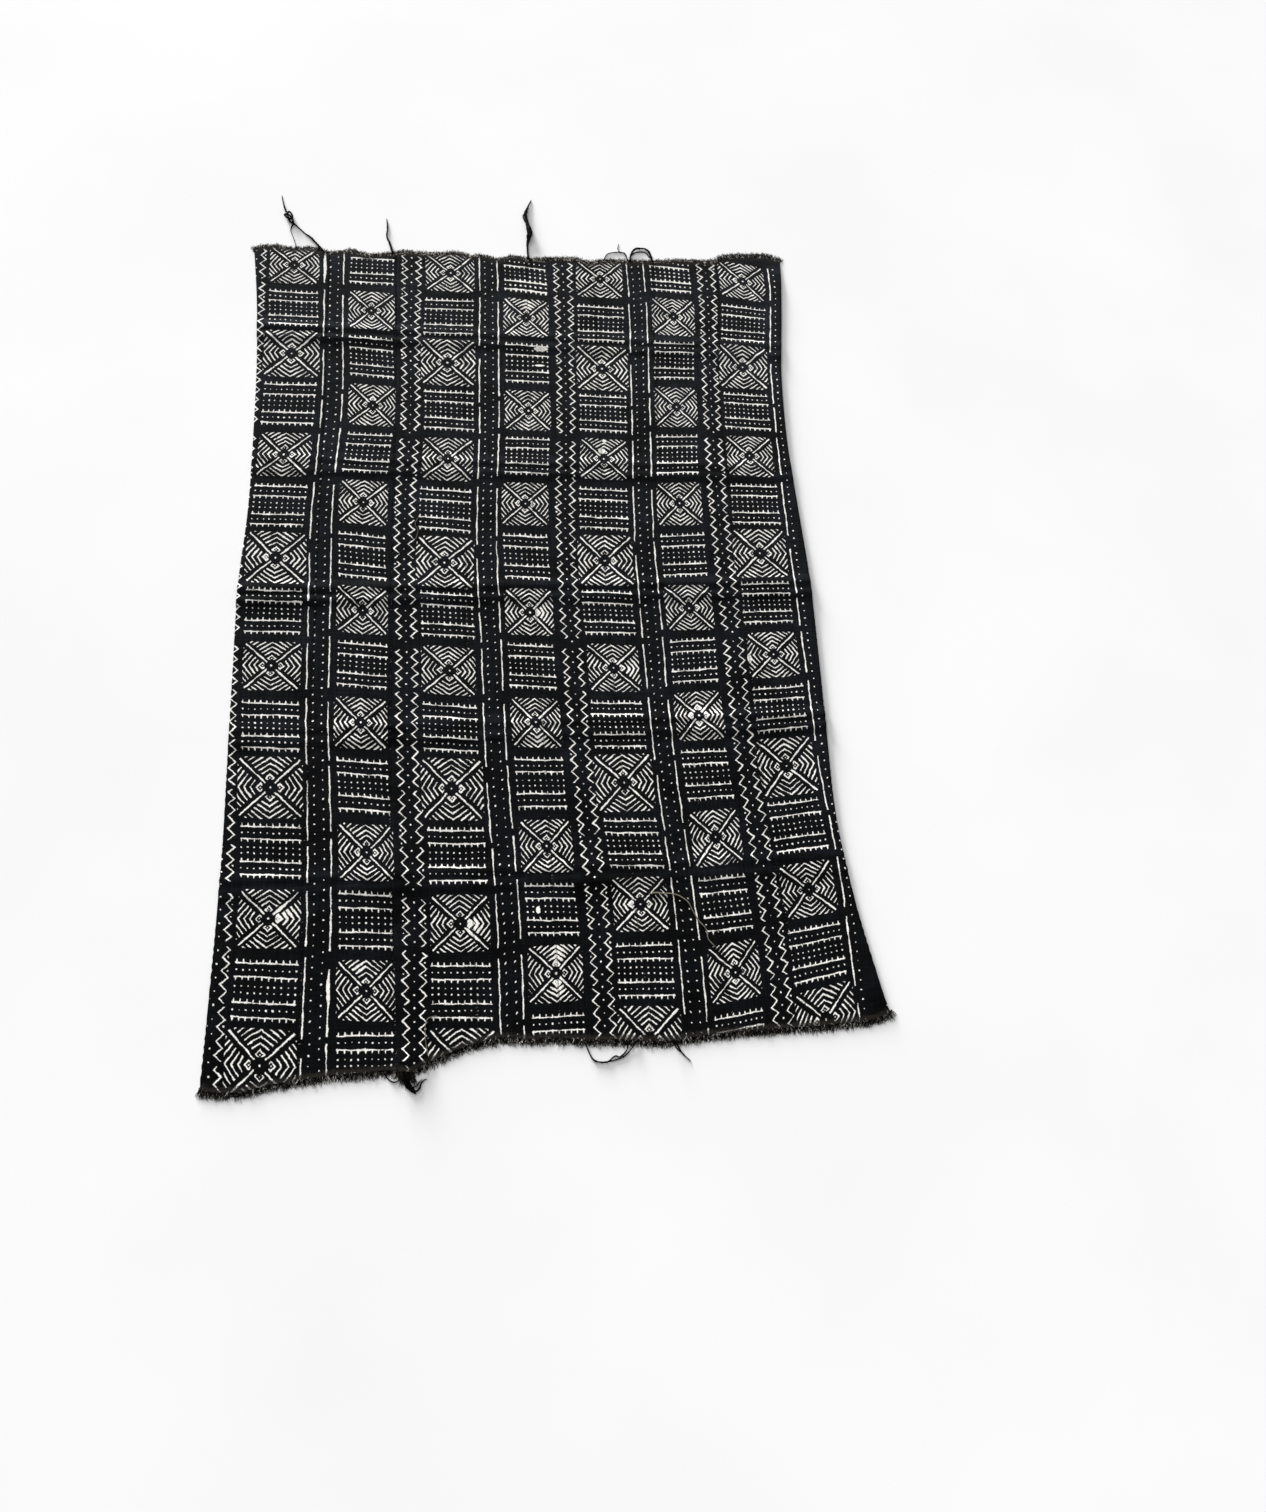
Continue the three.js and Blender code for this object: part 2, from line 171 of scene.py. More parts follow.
# Curves through the tables
def smooth(knots, values, at):
    """A smooth curve through values at rising knots, with its ends carried on."""
    knots = np.asarray(knots, float)
    values = np.asarray(values, float)
    last = len(knots) - 1
    i = np.clip(np.searchsorted(knots, at), 1, last)
    t = (at - knots[i - 1]) / (knots[i] - knots[i - 1])
    slope_in = (values[i] - values[np.maximum(i - 2, 0)]) / 2
    slope_out = (values[np.minimum(i + 1, last)] - values[i - 1]) / 2
    return (
        (2 * t**3 - 3 * t**2 + 1) * values[i - 1]
        + (t**3 - 2 * t**2 + t) * slope_in
        + (3 * t**2 - 2 * t**3) * values[i]
        + (t**3 - t**2) * slope_out
    )


def edge_x(line, y):
    return smooth(EDGE_HEIGHTS, EDGE_PLACES[:, LINES.index(line)], y)


def soft_step(value, start, end):
    t = np.clip((value - start) / (end - start), 0, 1)
    return t * t * (3 - 2 * t)


def weave_end(strip, x, top):
    """Height at which the weave itself ends, where its frayed rim starts."""
    if not top:
        return np.interp(x, *BOTTOM_TIPS.T) + FRAY_DEPTH["bottom"]
    if strip == 8:
        return np.interp(x, *TOP_RIGHT_TIPS.T) - FRAY_DEPTH["top_right"]
    return np.interp(x, *TOP_TIPS.T) - FRAY_DEPTH["top"]


def fold_height(fold, x):
    share = (x - EDGE_PLACES[5, 0]) / (EDGE_PLACES[5, -1] - EDGE_PLACES[5, 0])
    return fold["left"] + (fold["right"] - fold["left"]) * share


def fold_lift(x, y):
    """The soft ridges and troughs left by folding the cloth away."""
    lift = np.zeros_like(x)
    for fold in FOLDS:
        off = np.abs(y - fold_height(fold, x))
        shoulder = np.interp(x, (EDGE_PLACES[5, 0], 0, EDGE_PLACES[5, -1]), fold["lift"])
        inner = FOLD["groove"] + (1 - FOLD["groove"]) * soft_step(off, 0, FOLD["shoulder"])
        outer = 1 - soft_step(off, FOLD["shoulder"], FOLD["foot"])
        lift += shoulder * np.minimum(inner, outer)
    return lift


def crease_shade_at(x, y):
    """The shade painted along the folds' creases at each place, from 0 to 1."""
    depth = np.zeros_like(x)
    for fold, strengths in zip(FOLDS, CREASE_SHADES):
        off = np.abs(y - fold_height(fold, x))
        depth = np.maximum(depth, np.interp(x, *zip(*strengths)) * (1 - soft_step(off, *FOLD["crease_shade"])))
    return depth


def surface_lift(x, y, strip):
    """How high the underside stands off the floor."""
    bottom = np.interp(x, *BOTTOM_TIPS.T)
    calm = np.clip(np.minimum(y - bottom, CLOTH["calm_top"] - y) / SELVAGE["calm_end"], 0, 1)
    right = edge_x("right", y)
    curl = SELVAGE["curl"] * calm * soft_step(x, right - SELVAGE["curl_width"], right)
    off = np.hypot(x - CRUMPLE["x"], y - CRUMPLE["y"]) / CRUMPLE["radius"]
    wrinkle = 0.72 + 0.28 * np.sin(x * 0.55 + y * 0.21) * np.sin(y * 0.5 - x * 0.13)
    crumple = CRUMPLE["height"] * np.clip(1 - off**2, 0, 1) * wrinkle
    bend = RIPPLE["bend"] * np.sin(y / RIPPLE["bend_wave"])
    ripple = 0.5 + 0.5 * np.sin(x / RIPPLE["wave_x"] + bend + strip) * np.sin(y / RIPPLE["wave_y"])
    return fold_lift(x, y) + curl + crumple + RIPPLE["height"] * ripple


# The chart of figures, laid over the cloth as it was painted
def column_drift(column, y):
    """How far a column of figures has wandered across and down at height y, and the slope of its weft."""
    odd = column % 2 == 1
    xs = np.array(CROSS_X[column - 1], float)[::-1]
    ys = np.array(CROSS_Y[column - 1], float)[::-1]
    downs = (PITCH["row"] * np.arange(len(xs)) + (0 if odd else PITCH["row"] / 2))[::-1]
    kept = np.clip(y, ys[0], ys[-1])
    across = smooth(ys, xs, kept) - PITCH["column"] * (column - 4)
    down = smooth(ys, downs - (PITCH["top"] - ys), kept)
    slope = np.tan(np.radians(np.interp(y, TILT_HEIGHTS, TILTS[column - 1])))
    return across, down, slope


def chart_place(x, y):
    """Where places on the cloth lie on the even chart, in mm across from its middle and down from its top."""
    drifts = [column_drift(column, y) for column in range(1, 8)]
    centres = [PITCH["column"] * (c - 3) + drift[0] for c, drift in enumerate(drifts)]
    across = np.where(x < centres[0], x - drifts[0][0], x - drifts[6][0])
    down = np.empty_like(x)
    for c in range(8):
        left, right = max(c - 1, 0), min(c, 6)
        inside = np.ones_like(x, bool)
        if c > 0:
            inside &= x >= centres[c - 1]
        if c < 7:
            inside &= x < centres[c]
        share = np.zeros_like(x)
        if 0 < c < 7:
            share = (x - centres[left]) / (centres[right] - centres[left])
            across = np.where(inside, PITCH["column"] * (left - 3 + share), across)
        blend = soft_step(share, *PITCH["blend"])
        downs = [PITCH["top"] - y + drifts[k][1] + drifts[k][2] * (x - centres[k]) for k in (left, right)]
        down = np.where(inside, downs[0] * (1 - blend) + downs[1] * blend, down)
    return across, down


def soft_spots(spots, x, y):
    amount = np.zeros_like(x)
    for spot_x, spot_y, half_width, half_height, most in spots:
        off = np.hypot((x - spot_x) / half_width, (y - spot_y) / half_height)
        amount = np.maximum(amount, most * (1 - soft_step(off, 0.35, 1.15)))
    return amount


# Meshes
def to_frame(points):
    """Millimetres on the tables' axes to metres in the part's own frame."""
    moved = np.array(points, float)
    moved[:, :2] -= ORIGIN
    return moved * MM


def mesh_object(name, points, faces=(), edges=()):
    mesh = bpy.data.meshes.new(name)
    mesh.from_pydata(to_frame(points).tolist(), list(edges), list(faces))
    made = bpy.data.objects.new(name, mesh)
    bpy.context.scene.collection.objects.link(made)
    return made


def store(mesh, name, kind, values):
    field = {"FLOAT": "value", "FLOAT_VECTOR": "vector"}[kind]
    layer = mesh.attributes.new(name, kind, "POINT")
    layer.data.foreach_set(field, np.asarray(values, np.float32).ravel())


def strip_rows(middle):
    """Shares of a strip's length at which its rows run, closer together over each fold."""
    length = CLOTH["top"] - CLOTH["bottom"]
    rows = set(np.round(np.linspace(0, 1, round(length / GRID["row"]) + 1), 5))
    for fold in FOLDS:
        y = fold_height(fold, np.array([middle]))[0]
        fine = np.arange(y - GRID["fine_reach"], y + GRID["fine_reach"] + 0.1, GRID["fine_row"])
        rows |= set(np.round((fine - CLOTH["bottom"]) / length, 5))
    rows = np.array(sorted(rows))
    # Rows under 1 mm apart would make slivers
    return rows[np.append(True, np.diff(rows) > 0.0006)]


def strip_columns():
    """Shares of a strip's width at which its columns run, closer together at the two selvages."""
    even = np.linspace(0, 1, GRID["columns"] + 1)
    return np.sort(np.concatenate([even, GRID["crowded"]]))


def strip_uv(rows, columns, mesh):
    """Unwraps a strip in four runs side by side, with its underside and rims beside them."""
    cuts = np.searchsorted(rows, np.linspace(0, 1, UV["runs"] + 1)[1:-1])
    run_of_row = np.searchsorted(cuts, np.arange(len(rows) - 1), side="right")
    starts = np.append(0, rows[cuts])
    per_length = UV["run_width"] / STRIP_SIZE[0] * STRIP_SIZE[1]
    layer = mesh.uv_layers.new(name="OFBake")
    count = len(columns)
    size = len(rows) * count
    corners = np.empty(len(mesh.loops), int)
    mesh.loops.foreach_get("vertex_index", corners)
    uv = np.zeros((len(corners), 2))
    for face in mesh.polygons:
        loops = slice(face.loop_start, face.loop_start + face.loop_total)
        ids = corners[loops]
        under = ids >= size
        r, c = np.divmod(ids % size, count)
        if under.all():
            place = rows[r] * UV["length"], UV["under"] + columns[c] * UV["under_height"] - UV["margin"]
        elif not under.any():
            run = run_of_row[min(r.min(), len(rows) - 2)]
            place = run / UV["runs"] + columns[c] * UV["run_width"], (rows[r] - starts[run]) * per_length
        else:
            side = np.ptp(columns[c]) < 1e-9
            along = rows[r] if side else columns[c]
            band = UV["rims"] + UV["rim_step"] * ((columns[c].max() > 0.5) + (0 if side else 2))
            place = along * UV["length"], band + UV["rim_height"] * under - UV["margin"]
        uv[loops] = UV["margin"] + np.column_stack(place)
    layer.data.foreach_set("uv", uv.ravel())


def scallop(y):
    """How far the cloth's own two selvages are drawn in, pick by pick of the weft."""
    worn = np.interp(y, SCALLOP["heights"], SCALLOP["worn"])
    return SCALLOP["deep"] * worn * (0.5 + 0.5 * np.sin(y / 2.9 + 3.1 * np.sin(y / 23)) * np.cos(y / 47))


def make_strip(strip):
    """One strip of weave as a closed sheet on its solid's folds, with its place on the chart of figures."""
    left_line, right_line = LINES[strip - 1], LINES[strip]
    inset = CLOTH["seam_gap"] / 2
    columns = strip_columns()
    middle = (edge_x(left_line, np.array([0.0]))[0] + edge_x(right_line, np.array([0.0]))[0]) / 2
    rows = strip_rows(middle)
    share, along = np.meshgrid(columns, rows)
    # The ends' slanted lines are read at rough places first, and then where the rows really end
    foot = edge_x(left_line, -800.0) + columns * 140
    head = edge_x(left_line, 850.0) + columns * 140
    for _ in range(2):
        bottom = weave_end(strip, foot, False)
        y = bottom + (weave_end(strip, head, True) - bottom) * along
        left = edge_x(left_line, y) + inset + (strip == 1) * scallop(y)
        right = edge_x(right_line, y) - inset - (strip == 8) * scallop(y + SCALLOP["lag"])
        x = left + (right - left) * share
        foot, head = x[0], x[-1]
    lift = surface_lift(x, y, strip)
    from_edge = np.minimum(x - edge_x(left_line, y), edge_x(right_line, y) - x)
    tuck = SELVAGE["pucker"] * (1 - soft_step(from_edge, 0, SELVAGE["pucker_width"]))
    over = lift + CLOTH["thick"] - tuck
    heights = np.append(over.ravel(), lift.ravel())
    points = np.column_stack([np.tile(x.ravel(), 2), np.tile(y.ravel(), 2), heights])

    size = share.size
    grid = np.arange(size).reshape(share.shape)
    a, b, c, d = (g.ravel() for g in (grid[:-1, :-1], grid[:-1, 1:], grid[1:, 1:], grid[1:, :-1]))
    faces = np.concatenate([np.column_stack([a, b, c, d]), np.column_stack([d, c, b, a]) + size])
    rim = np.concatenate([grid[0, :], grid[1:, -1], grid[-1, -2::-1], grid[-2:0:-1, 0]])
    after = np.roll(rim, -1)
    faces = np.concatenate([faces, np.column_stack([rim + size, after + size, after, rim])])
    made = mesh_object(f"woven_strip_{strip}", points, faces.tolist())

    mesh = made.data
    across, down = chart_place(points[:, 0], points[:, 1])
    from_end = np.minimum(y - y[0], y[-1] - y).ravel()
    store(mesh, "chart", "FLOAT_VECTOR", np.column_stack([across, down, np.tile(from_end, 2)]))
    # Dark patches, widened strokes, and the shade painted into the creases
    stains_and_crease_shade = [soft_spots(DARK_PATCHES, x, y), soft_spots(WIDE_STROKES, x, y), crease_shade_at(x, y)]
    store(mesh, "stain_and_crease_shade", "FLOAT_VECTOR", np.column_stack([np.tile(s.ravel(), 2) for s in stains_and_crease_shade]))
    store(mesh, "under", "FLOAT", np.repeat((0.0, 1.0), size))
    strip_uv(rows, columns, mesh)
    mesh.shade_smooth()
    mesh.set_sharp_from_angle(angle=math.radians(50))
    return made


# Nodes, the kinds that are used often
COMBINE = "ShaderNodeCombineXYZ"
SEPARATE = "ShaderNodeSeparateXYZ"
MIX = "ShaderNodeMix"
MAP = "ShaderNodeMapRange"
RAMP = "ShaderNodeValToRGB"
NOISE = "ShaderNodeTexNoise"
RANDOM = "FunctionNodeRandomValue"
STORE = "GeometryNodeStoreNamedAttribute"
NAMED = "GeometryNodeInputNamedAttribute"
MOVE = "GeometryNodeSetPosition"
POSITION = "GeometryNodeInputPosition"
SWEEP = "GeometryNodeCurveToMesh"
RESAMPLE = "GeometryNodeResampleCurve"
CIRCLE = "GeometryNodeCurvePrimitiveCircle"


def add(tree, kind, *links, into=None, **settings):
    """Adds a node with its settings. Links or values fill its live inputs in order, or by name with into.
    A kind in capitals is an operation of the Math node, or of Vector Math where it starts with VECTOR.
    """
    if kind.isupper():
        vector, _, settings["operation"] = kind.rpartition(" ")
        kind = "ShaderNodeVectorMath" if vector else "ShaderNodeMath"
    node = tree.nodes.new(kind)
    for key, value in settings.items():
        setattr(node, key, value)
    live = [socket for socket in node.inputs if socket.enabled]
    pairs = list(zip(live, links)) + [(node.inputs[name], value) for name, value in (into or {}).items()]
    for socket, value in pairs:
        if isinstance(value, bpy.types.Node):
            value = next(output for output in value.outputs if output.enabled)
        if isinstance(value, bpy.types.NodeSocket):
            tree.links.new(value, socket)
        elif value is not None:
            socket.default_value = value
    return node


def linear(code):
    """An sRGB hex colour as the linear values that a shader takes."""
    parts = [int(code[i:i + 2], 16) / 255 for i in (1, 3, 5)]
    return tuple(p / 12.92 if p <= 0.04045 else ((p + 0.055) / 1.055) ** 2.4 for p in parts) + (1.0,)


def set_stops(ramp, stops, interpolation="LINEAR"):
    """Fills a Color Ramp node from (place, hex colour) pairs."""
    ramp.color_ramp.interpolation = interpolation
    elements = ramp.color_ramp.elements
    while len(elements) > 1:
        elements.remove(elements[-1])
    for number, (place, code) in enumerate(stops):
        element = elements.new(place) if number else elements[0]
        element.position = place
        element.color = linear(code)
    return ramp


# Painted figures. Each group of nodes gives the distance in mm to the nearest painted edge, below 0 inside.
# The numbers are places off the middle, pitches, and half widths of strokes, dots and teeth. SLANT takes a way
# along an axis to the way square to a diagonal, and each figure's own "square" does it for its slanted lines.
SLANT = 0.707
REPEAT = 2 * PITCH["row"]
CROSS = {
    "arm": 1.05, "arm_start": 10.0, "arm_end": 61.5,
    "chevron": 28.5, "chevron_pitch": 8.8, "chevron_line": 0.82, "chevron_start": 25.0, "chevron_end": 47.0,
    "slope": 0.6, "bend": 0.004, "square": 0.81, "gap": 6.5, "more_gap_at_sides": 1.8,
    "lozenge": 14.3, "lozenge_size": 5.8, "lozenge_line": 0.9, "opening": 2.6, "eye": 0.9, "heart": 1.4,
    "width": 0.96, "wider_in_odd": 0.07, "large_wider": 0.10, "large_taller": 0.15,
}
ROWS = {
    "half_width": 43.0, "wider_in_odd": 5.4, "inner_line": 19.5, "outer_line": 41.3, "line": 0.92,
    "pitch": 10.2, "tooth": 1.25, "tooth_middle": 2.1, "tooth_reach": 3.4, "tooth_taper": 0.25,
    "inner_dots": 4.9, "outer_dots": 30.5, "dot": 1.14,
}
RAIL = {
    "line_place": 18.5, "line": 0.95, "dot_place": 7.5, "dot_pitch": 16.6, "dot_lag": 3.2, "dot": 1.1,
    "left": ((58, 122), (211, 103), (323, 61), (398, 90)),
    "right": ((78, 105), (193, 110), (315, 63), (393, 103)),
}
ZIGZAG = {
    "swing": 10.63, "slope": 1.05, "square": 0.69, "inner_corner": 8.0, "line": 0.86, "dot": 1.15,
    "notch_dot": 1.3, "notch_place": 17.5, "notch_share": 0.2, "notch_seed": 3.0,
    "strokes": ((-40, 78), (46, 87), (138, 82), (228, 88), (323, 63)),
}
# Lanes between the columns of figures, and where they end at the sides and the top of the chart
LANES = {"rail": 78.5, "zigzag": -75.6, "split": -102.0, "left": -541.0, "right": 535.0, "top": -54.0}
# How much a hand slips: across and down in mm, and turn in radians, each way
SLIP = (1.3, 1.1, 0.025)


def begin_figure(name, *more):
    """An empty group of nodes with its place on the figure, across and down, and any other numbers."""
    tree = bpy.data.node_groups.new(name, "ShaderNodeTree")
    labels = ("Across", "Down", *more)
    for label in labels:
        tree.interface.new_socket(label, in_out="INPUT", socket_type="NodeSocketFloat")
    tree.interface.new_socket("Distance", in_out="OUTPUT", socket_type="NodeSocketFloat")
    return tree, partial(add, tree), add(tree, "NodeGroupInput").outputs[:len(labels)]


def away(put, value, place):
    """How far a value is from a place, either way."""
    return put("ABSOLUTE", put("SUBTRACT", value, place))


def round_dot(put, across, down, radius):
    """A dot, from the way to its middle."""
    return put("SUBTRACT", put("VECTOR LENGTH", put(COMBINE, across, down)), radius)


def nearest(put, *shapes):
    """Several painted shapes together."""
    return reduce(partial(put, "MINIMUM"), shapes)


def shared(put, *shapes):
    """Only what several shapes share, so that one cuts another short."""
    return reduce(partial(put, "MAXIMUM"), shapes)


def drawn_where(put, down, strokes):
    """White where strokes are drawn, each (start, length) down the chart, and black in the gaps between."""
    spans = []
    for start, run in strokes:
        start %= REPEAT
        spans.append((start, min(start + run, REPEAT)))
        if start + run > REPEAT:
            spans.append((0.0, start + run - REPEAT))
    stops = [] if min(spans)[0] == 0 else [(0.0, "#000000")]
    for start, end in sorted(spans):
        stops.append((start / REPEAT, "#ffffff"))
        if end < REPEAT:
            stops.append((end / REPEAT, "#000000"))
    turn = put("DIVIDE", put("FLOORED_MODULO", down, REPEAT), REPEAT)
    return set_stops(put(RAMP, turn), stops, "CONSTANT")


def broken(put, line, drawn):
    """A line with gaps: 4 mm beyond its edge where it isn't drawn."""
    gap = put("MULTIPLY_ADD", put("ShaderNodeSeparateColor", drawn), -8.0, 4.0)
    return put("MAXIMUM", line, gap)


def cross_figure():
    """Two long crossed strokes, with nested chevrons and a small dotted lozenge in each quarter."""
    tree, put, (across, down) = begin_figure("painted cross")
    a = put("ABSOLUTE", across)
    b = put("ABSOLUTE", down)
    far = put("MAXIMUM", a, b)
    near = put("MINIMUM", a, b)
    off_arm = put("SUBTRACT", far, near)
    diagonal = put("MULTIPLY", put("ADD", a, b), SLANT)
    arm = put("MULTIPLY_ADD", off_arm, SLANT, -CROSS["arm"])
    arm_start = put("SUBTRACT", CROSS["arm_start"], diagonal)
    arm_end = put("SUBTRACT", diagonal, CROSS["arm_end"])
    arms = shared(put, arm, arm_start, arm_end)
    # Chevrons lie flatter than the arms, and bend a little: three whole ones, then strokes in the corners
    slope = put("MULTIPLY_ADD", near, CROSS["bend"], CROSS["slope"])
    out = put("MULTIPLY_ADD", near, slope, far)
    half_pitch = CROSS["chevron_pitch"] / 2
    phase = put("WRAP", out, CROSS["chevron"] + half_pitch, CROSS["chevron"] - half_pitch)
    line = away(put, phase, CROSS["chevron"])
    line = put("MULTIPLY_ADD", line, CROSS["square"], -CROSS["chevron_line"])
    too_near = put("SUBTRACT", CROSS["chevron_start"], out)
    too_far = put("SUBTRACT", far, CROSS["chevron_end"])
    # They stop short of the arms, and more so in the two quarters at the sides
    gap = put("MULTIPLY_ADD", put("GREATER_THAN", a, b), CROSS["more_gap_at_sides"], CROSS["gap"])
    by_arm = put("MULTIPLY_ADD", off_arm, -SLANT, gap)
    chevrons = shared(put, line, too_near, too_far, by_arm)
    # The lozenge is a ring, open towards the middle of the cross, with a dot inside
    out = put("SUBTRACT", far, CROSS["lozenge"])
    ring = away(put, put("ADD", put("ABSOLUTE", out), near), CROSS["lozenge_size"])
    ring = put("MULTIPLY_ADD", ring, SLANT, -CROSS["lozenge_line"])
    lozenge = put("MAXIMUM", ring, put("SUBTRACT", -CROSS["opening"], out))
    eye = round_dot(put, out, near, CROSS["eye"])
    heart = round_dot(put, a, b, CROSS["heart"])
    put("NodeGroupOutput", nearest(put, arms, chevrons, lozenge, eye, heart))
    return tree


def toothed_rows():
    """Four toothed lines with rows of dots between them, the same above and below the middle."""
    tree, put, (across, down, shift, half_width) = begin_figure("toothed rows", "Shift", "Half width")
    b = put("ABSOLUTE", down)
    step = put("WRAP", put("ADD", across, shift), ROWS["pitch"] / 2, -ROWS["pitch"] / 2)
    line = nearest(put, away(put, b, ROWS["inner_line"]), away(put, b, ROWS["outer_line"]))
    line = put("SUBTRACT", line, ROWS["line"])
    # Teeth on the inner lines point to the middle, and on the outer ones away from it
    inner_tooth = away(put, b, ROWS["inner_line"] - ROWS["tooth_middle"])
    outer_tooth = away(put, b, ROWS["outer_line"] + ROWS["tooth_middle"])
    reach = nearest(put, inner_tooth, outer_tooth)
    tooth_side = put("MULTIPLY_ADD", reach, ROWS["tooth_taper"], -ROWS["tooth"])
    tooth_side = put("ADD", tooth_side, put("ABSOLUTE", step))
    tooth = shared(put, put("SUBTRACT", reach, ROWS["tooth_reach"]), tooth_side)
    # Dots in two rows close to the middle, and in one row between each pair of lines
    row = nearest(put, away(put, b, ROWS["inner_dots"]), away(put, b, ROWS["outer_dots"]))
    painted = nearest(put, line, tooth, round_dot(put, step, row, ROWS["dot"]))
    side = put("SUBTRACT", put("ABSOLUTE", across), half_width)
    put("NodeGroupOutput", shared(put, painted, side))
    return tree


def dotted_rail():
    """Two broken upright lines with two columns of dots between them."""
    tree, put, (across, down) = begin_figure("dotted rail")
    off = put("ABSOLUTE", across)
    side = put("SIGN", across)
    left = drawn_where(put, down, RAIL["left"])
    right = drawn_where(put, down, RAIL["right"])
    drawn = put(MIX, put("GREATER_THAN", side, 0.0), left, right, data_type="RGBA")
    line = put("SUBTRACT", away(put, off, RAIL["line_place"]), RAIL["line"])
    # The right column of dots stands a little higher than the left one
    lag = put("MULTIPLY_ADD", side, RAIL["dot_lag"], down)
    step = put("WRAP", lag, RAIL["dot_pitch"] / 2, -RAIL["dot_pitch"] / 2)
    dots = round_dot(put, put("SUBTRACT", off, RAIL["dot_place"]), step, RAIL["dot"])
    put("NodeGroupOutput", nearest(put, broken(put, line, drawn), dots))
    return tree


def zigzag_pair():
    """Two zigzag strokes, each the other's mirror image, with a column of dots between them."""
    tree, put, (across, down) = begin_figure("zigzag pair")
    off = put("ABSOLUTE", across)
    swing = put("PINGPONG", down, ZIGZAG["swing"])
    line = away(put, off, put("MULTIPLY_ADD", swing, ZIGZAG["slope"], ZIGZAG["inner_corner"]))
    line = put("MULTIPLY_ADD", line, ZIGZAG["square"], -ZIGZAG["line"])
    line = broken(put, line, drawn_where(put, down, ZIGZAG["strokes"]))
    dots = round_dot(put, across, put("SUBTRACT", swing, ZIGZAG["swing"]), ZIGZAG["dot"])
    # Now and then a dot fills a notch on the outside
    beat = put("ROUND", put("DIVIDE", down, 2 * ZIGZAG["swing"]))
    beat_place = put(COMBINE, beat, put("SIGN", across), ZIGZAG["notch_seed"])
    chance = put("ShaderNodeTexWhiteNoise", beat_place)
    left_out = put("LESS_THAN", chance, 1 - ZIGZAG["notch_share"])
    notch = round_dot(put, put("SUBTRACT", off, ZIGZAG["notch_place"]), swing, ZIGZAG["notch_dot"])
    notch = put("MULTIPLY_ADD", left_out, 6.0, notch)
    put("NodeGroupOutput", nearest(put, line, dots, notch))
    return tree


def figure_distance(put, across, down):
    """Distance in mm to the nearest painted edge of the whole chart, at a place on it."""
    column = put("ROUND", put("DIVIDE", across, PITCH["column"]))
    odd = put("FLOORED_MODULO", column, 2.0)
    x = put("MULTIPLY_ADD", column, -PITCH["column"], across)
    # Crosses and toothed rows take turns, half a step later in every other column
    half_row = PITCH["row"] / 2
    shifted = put("ADD", down, put("MULTIPLY_ADD", odd, half_row, -half_row))
    cell = put("ROUND", put("DIVIDE", shifted, half_row))
    y = put("MULTIPLY_ADD", cell, -half_row, shifted)
    # Each figure is a little off its place and turned, as a hand draws it
    cell_place = put(COMBINE, column, cell)
    chance = put("ShaderNodeTexWhiteNoise", cell_place).outputs["Color"]
    span = tuple(2 * most for most in SLIP)
    slip = put("VECTOR MULTIPLY_ADD", chance, span, tuple(-most for most in SLIP))
    slip_x, slip_y, turn = put(SEPARATE, slip).outputs
    turned_x = put("ADD", put("MULTIPLY_ADD", turn, y, slip_x), x)
    turned_y = put("ADD", y, put("MULTIPLY_ADD", turn, x, slip_y))
    # In odd columns every other cross is larger
    large = put("COMPARE", put("FLOORED_MODULO", cell, 4.0), 2.0, 0.5)
    large = put("MULTIPLY", large, odd)
    wide = put("MULTIPLY_ADD", odd, CROSS["wider_in_odd"], CROSS["width"])
    wide = put("MULTIPLY_ADD", large, CROSS["large_wider"], wide)
    tall = put("MULTIPLY_ADD", large, CROSS["large_taller"], 1.0)
    cross_x = put("DIVIDE", turned_x, wide)
    cross_y = put("DIVIDE", turned_y, tall)
    cross = put("ShaderNodeGroup", cross_x, cross_y, node_tree=FIGURES["cross"])
    shift = put("MULTIPLY", odd, ROWS["pitch"] / 2)
    half_width = put("MULTIPLY_ADD", odd, ROWS["wider_in_odd"], ROWS["half_width"])
    rows = put("ShaderNodeGroup", turned_x, turned_y, shift, half_width, node_tree=FIGURES["rows"])
    is_rows = put("FLOORED_MODULO", cell, 2.0)
    block = put(MIX, is_rows, cross, rows)
    # Rails stand right of odd columns and zigzags left of them
    lane = put("ADD", across, PITCH["column"])
    lane = put("WRAP", lane, 2 * PITCH["column"] + LANES["split"], LANES["split"])
    rail = put("ShaderNodeGroup", put("SUBTRACT", lane, LANES["rail"]), down, node_tree=FIGURES["rail"])
    zigzag = put("ShaderNodeGroup", put("SUBTRACT", lane, LANES["zigzag"]), down, node_tree=FIGURES["zigzag"])
    past_right = put("SUBTRACT", across, LANES["right"])
    past_left = put("SUBTRACT", LANES["left"], across)
    between = shared(put, nearest(put, rail, zigzag), past_right, past_left)
    return shared(put, nearest(put, block, between), put("SUBTRACT", LANES["top"], down))


FIGURES = {"cross": cross_figure(), "rows": toothed_rows(), "rail": dotted_rail(), "zigzag": zigzag_pair()}


# Materials
def begin_material(name):
    """A material with an empty tree, the function that fills it, and the place on the object in metres."""
    material = bpy.data.materials.new(name)
    material.use_nodes = True
    material.node_tree.nodes.clear()
    put = partial(add, material.node_tree)
    return material, put, put("ShaderNodeTexCoord").outputs["Object"]


